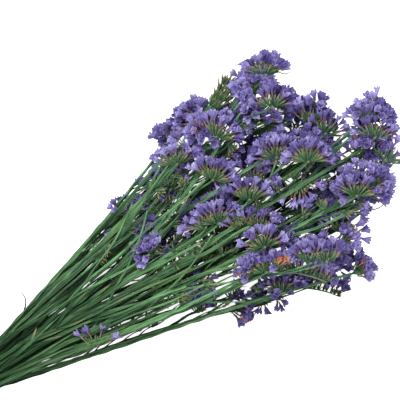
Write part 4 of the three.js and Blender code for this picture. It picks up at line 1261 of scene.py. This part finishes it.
def bract_colour(tree, grain):
    """Green at the foot, olive above, and tan at the tips, each bract a little different."""
    tone = attribute(tree, "tone")
    colour = mix(tree, tone, linear(48, 96, 66), linear(120, 148, 108))
    tip = between(tree, attribute(tree, "along"), 0.5, 0.95)
    tanned = math_node(tree, "ADD", 0.2, math_node(tree, "MULTIPLY", tone, 0.75))
    colour = mix(tree, math_node(tree, "MULTIPLY", tip, tanned), colour, linear(208, 170, 126))
    colour = mix(tree, between(tree, grain["Streak"], 0.35, 0.75), colour, linear(62, 104, 70))
    foot = math_node(tree, "MULTIPLY", between(tree, attribute(tree, "along"), 0.6, 0.0), 0.7)
    colour = mix(tree, foot, colour, (0.4, 0.55, 0.45, 1), "MULTIPLY")
    # painted shade: darker the deeper it lies in the bunch
    return painted_depth_shade(tree, colour, (0.3, 0.38, 0.28, 1), 0.9)


def calyx_colour(tree, grain):
    """Peach where it leaves the spikelet, then violet, paler on the pleats' ridges as a painted highlight,
    with painted shade below the rim and in the hollow, and deeper veins. A faded one is orange to tan.
    Painted shade darkens it deeper in the bunch."""
    tone, along, edge = (attribute(tree, name) for name in ("tone", "along", "edge"))
    violet = mix(tree, between(tree, tone, 0.05, 0.95), linear(92, 84, 150), linear(182, 174, 224))
    # painted highlight: paler on the pleats' ridges
    violet = mix(tree, math_node(tree, "MULTIPLY", edge, 0.35), violet, linear(180, 164, 226))
    vein = between(tree, grain["Streak"], 0.5, 0.66)
    violet = mix(tree, math_node(tree, "MULTIPLY", vein, 0.6), violet, linear(72, 54, 140))
    throat = math_node(tree, "MULTIPLY", between(tree, along, 0.46, 0.1), grain["Fleck"])
    colour = mix(tree, throat, violet, linear(214, 158, 118))
    # painted shade: darker below the rim and down into the funnel's hollow
    deep = math_node(tree, "MULTIPLY", between(tree, along, 0.98, 0.35), 0.9)
    colour = mix(tree, deep, colour, (0.5, 0.44, 0.62, 1), "MULTIPLY")
    faded = attribute(tree, "faded")
    dry = mix(tree, grain["Fibre"], linear(190, 116, 66), linear(232, 172, 118))
    colour = mix(tree, faded, colour, dry)
    # painted shade: darker the deeper it lies in the bunch
    return painted_depth_shade(tree, colour, (0.4, 0.36, 0.5, 1), 0.8)


def twine_colour(tree, grain):
    """Jute: tan strands with darker and paler fibres."""
    streak = between(tree, grain["Streak"], 0.3, 0.7)
    colour = mix(tree, streak, linear(146, 112, 68), linear(198, 168, 116))
    return mix(tree, between(tree, grain["Fibre"], 0.58, 0.7), colour, linear(108, 80, 48))


# ---- camera, lights and floor ----
def to_world(x, y, z):
    """A place in the bunch, in mm, as a point in the frame, in metres."""
    return Vector(np.array([x, y, z]) * MM + SHIFT)


def camera():
    """A camera straight above the bunch, with a long lens."""
    data = bpy.data.cameras.new("camera")
    data.lens = data.sensor_width * (VIEW_HEIGHT - MIDDLE_HEIGHT) / FIELD
    data.clip_start, data.clip_end = 0.1, 20
    made = bpy.data.objects.new("camera", data)
    made.location = to_world(*VIEW_AT, VIEW_HEIGHT)
    made.rotation_euler = (0, 0, np.radians(VIEW_TURN))
    bpy.context.scene.collection.objects.link(made)
    bpy.context.scene.camera = made


def lamp(name, right, up, height, size, watts, colour=(1, 1, 1)):
    """A square soft light, so far right of and above the middle of the view, and aimed at it."""
    data = bpy.data.lights.new(name, "AREA")
    data.size = size * MM
    data.energy = watts
    data.color = colour
    made = bpy.data.objects.new(name, data)
    made.location = to_world(*in_view(right, up), height)
    aim = to_world(*VIEW_AT, MIDDLE_HEIGHT) - made.location
    made.rotation_euler = aim.to_track_quat("-Z", "Y").to_euler()
    bpy.context.scene.collection.objects.link(made)


def floor():
    """A plain pale table top, with a faint mottle."""
    material = bpy.data.materials.new("pale_floor")
    material.use_nodes = True
    tree = material.node_tree
    principled = tree.nodes["Principled BSDF"]
    noise = node(tree, "TexNoise", Scale=6.0, Detail=2.0)
    tree.links.new(node(tree, "TexCoord").outputs["Object"], noise.inputs["Vector"])
    colour = mix(tree, noise.outputs["Fac"], linear(246, 246, 246), linear(250, 250, 250))
    tree.links.new(colour, principled.inputs["Base Color"])
    principled.inputs["Roughness"].default_value = 0.9
    principled.inputs["Emission Color"].default_value = (1, 1, 1, 1)
    principled.inputs["Emission Strength"].default_value = 0.85
    mesh = bpy.data.meshes.new("floor")
    r = FLOOR_HALF
    mesh.from_pydata([(-r, -r, 0), (r, -r, 0), (r, r, 0), (-r, r, 0)], [], [(0, 1, 2, 3)])
    mesh.materials.append(material)
    made = bpy.data.objects.new("floor", mesh)
    bpy.context.scene.collection.objects.link(made)


def world():
    """An even white studio all round."""
    made = bpy.data.worlds.new("studio")
    made.use_nodes = True
    background = made.node_tree.nodes["Background"]
    background.inputs["Color"].default_value = (1, 1, 1, 1)
    background.inputs["Strength"].default_value = 0.4
    bpy.context.scene.world = made


# ---- putting it together ----
tie_low, tie_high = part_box("tie")
SHIFT = np.array([(tie_low.x + tie_high.x) / 2, (tie_low.y + tie_high.y) / 2, 0])
BOX_LOW = (np.array(cad_low) - SHIFT) / MM + [0.1, 0.1, 0]
BOX_HIGH = (np.array(cad_high) - SHIFT) / MM - 0.1
camera()
world()
lamp("key", -500, 700, 1500, 900, 26)
lamp("fill", 900, -300, 1200, 900, 8)
floor()

GRAIN = dry_grain_group()
STEM = dry_finish("dry_green_stem", stem_colour, 0.25, 1.6, (0.5, 0.75), Specular_IOR_Level=0.25)
BRACT = dry_finish("dry_bract", bract_colour, 0.2, 1.2, (0.55, 0.85), Specular_IOR_Level=0.2)
CALYX = dry_finish("papery_calyx", calyx_colour, 0.25, 1.4, (0.65, 0.95), Specular_IOR_Level=0.2)
TWINE = dry_finish("jute_twine", twine_colour, 0.3, 3.0, (0.8, 1.0))


def place(piece, slot, *nodes):
    """A piece that stands for nodes of the solids."""
    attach(piece, "root")
    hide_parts(*nodes)


def place_calyxes(name, parts, node):
    """A head's calyxes as one piece, with how far each has faded."""
    piece = build(name, parts, [CALYX], 30)
    faded = np.concatenate([p.faded for p in parts]).astype(np.float32)
    piece.data.attributes.new("faded", "FLOAT", "POINT").data.foreach_set("value", faded)
    place(piece, "calyx", node)


def stem_and_leaves(spray, tone):
    """A spray's stem, with the strands and narrow leaves beside it, which keep within the bunch's edges."""
    green = [winged_stem(spray, tone)]
    if spray.number in BARE_EDGE:
        return green
    edge = spray.side / spray.reach
    for side in STRANDS:
        side = -abs(side) if edge > LEFT_EDGE else side
        green += strand(spray, side, np.clip(tone - rng.uniform(*STRAND_SHADE), 0, 1))
    for _ in range(BLADES):
        start, length = rng.uniform(*BLADE_FROM), rng.uniform(*BLADE_LENGTH)
        side, half = rng.uniform(-BLADE_ASIDE, BLADE_ASIDE), rng.uniform(*BLADE_HALF)
        roll = rng.uniform(-BLADE_ROLL, BLADE_ROLL)
        side = -abs(side) if edge > LEFT_EDGE else side
        side = abs(side) if edge < RIGHT_EDGE else side
        shade = np.clip(tone - rng.uniform(*BLADE_SHADE), 0, 1)
        green.append(blade(spray, start, length, side, half, roll, shade))
    return green


def small_heads(sprays, spray, tone):
    """The sprigs, small heads, fans and twigs that leave a spray's stem: their green and violet parts."""
    made = [
        cluster(side_head(spray, *rest, 1, 1), SPRIG_FLOWERS, 0.9, tone, scale=SPRIG_SIZE)
        for number, *rest in SPRIGS if number == spray.number
    ]
    for right, down, share, face, lift, florets in TUFTS:
        fork = tuft_fork(right, down, share, face, lift)
        if nearest_spray(sprays, fork) is spray:
            shade = np.clip(tone + rng.uniform(*TUFT_SHADE), 0, 1)
            made.append(cluster(offshoot(spray, fork, face, lift), florets, 1.0, shade))
    for right, down, share, face, spread, count, flowering in FANS:
        fork = np.round(seen(right, down, share, FAN_TOP))
        if nearest_spray(sprays, fork) is spray:
            head = offshoot(spray, fork, face, FAN_LIFT)
            made.append(fan(head, face, spread, count, flowering, tone))
    made.append(thicket(spray, tone))
    return [p for green, _ in made for p in green], [p for _, violet in made for p in violet]


sprays = read_sprays()
side_heads = {number: side_head(sprays[number - 1], *rest) for number, *rest in SIDE_HEADS}
for spray in sprays:
    tag = f"{spray.number:02d}"
    # painted shade: the lower a spray's layer, the darker its tone, plus a random tone for each spray
    climb = spray.climb - LAYERS[-1][0]
    tone = np.clip(SHADED_LAYER_TONE + LAYER_SHADE_CLIMB * climb + 0.5 * (draw(spray.number + 20) - 0.5), 0, 1)
    green = stem_and_leaves(spray, tone)
    more, violet = dress_head(main_head(spray), f"stem_{tag}" if spray.number == BUD else f"flowers_{tag}")
    green += more
    more, calyx = small_heads(sprays, spray, tone)
    green += more
    violet += calyx
    if spray.number in side_heads:
        head = side_heads[spray.number]
        green.append(branch(head, SIDE_HEAD_BRANCH, tone))
        more, side_violet = dress_head(head, f"side_flowers_{tag}")
        green += more
        place_calyxes(f"side_calyxes_{tag}", side_violet, f"side_flowers_{tag}")
    if spray.number == BUD:
        for closed in violet:
            closed.finish = 1
        green += violet
    else:
        place_calyxes(f"calyxes_{tag}", violet, f"flowers_{tag}")
    place(build(f"winged_stem_{tag}", green, [STEM, BRACT]), "stem", f"stem_{tag}")
loose = [free_leaf(*row) for row in LEAVES] + [stalk(*row) for row in STALKS]
loose += [tendril(*row) for row in TENDRILS]
piece = build("loose_leaves", loose, [STEM, BRACT])
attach(piece, "root")
place(build("twine_tie", twine_tie(sprays), [TWINE]), "twine", "tie")

bpy.context.scene.view_settings.view_transform = "Standard"
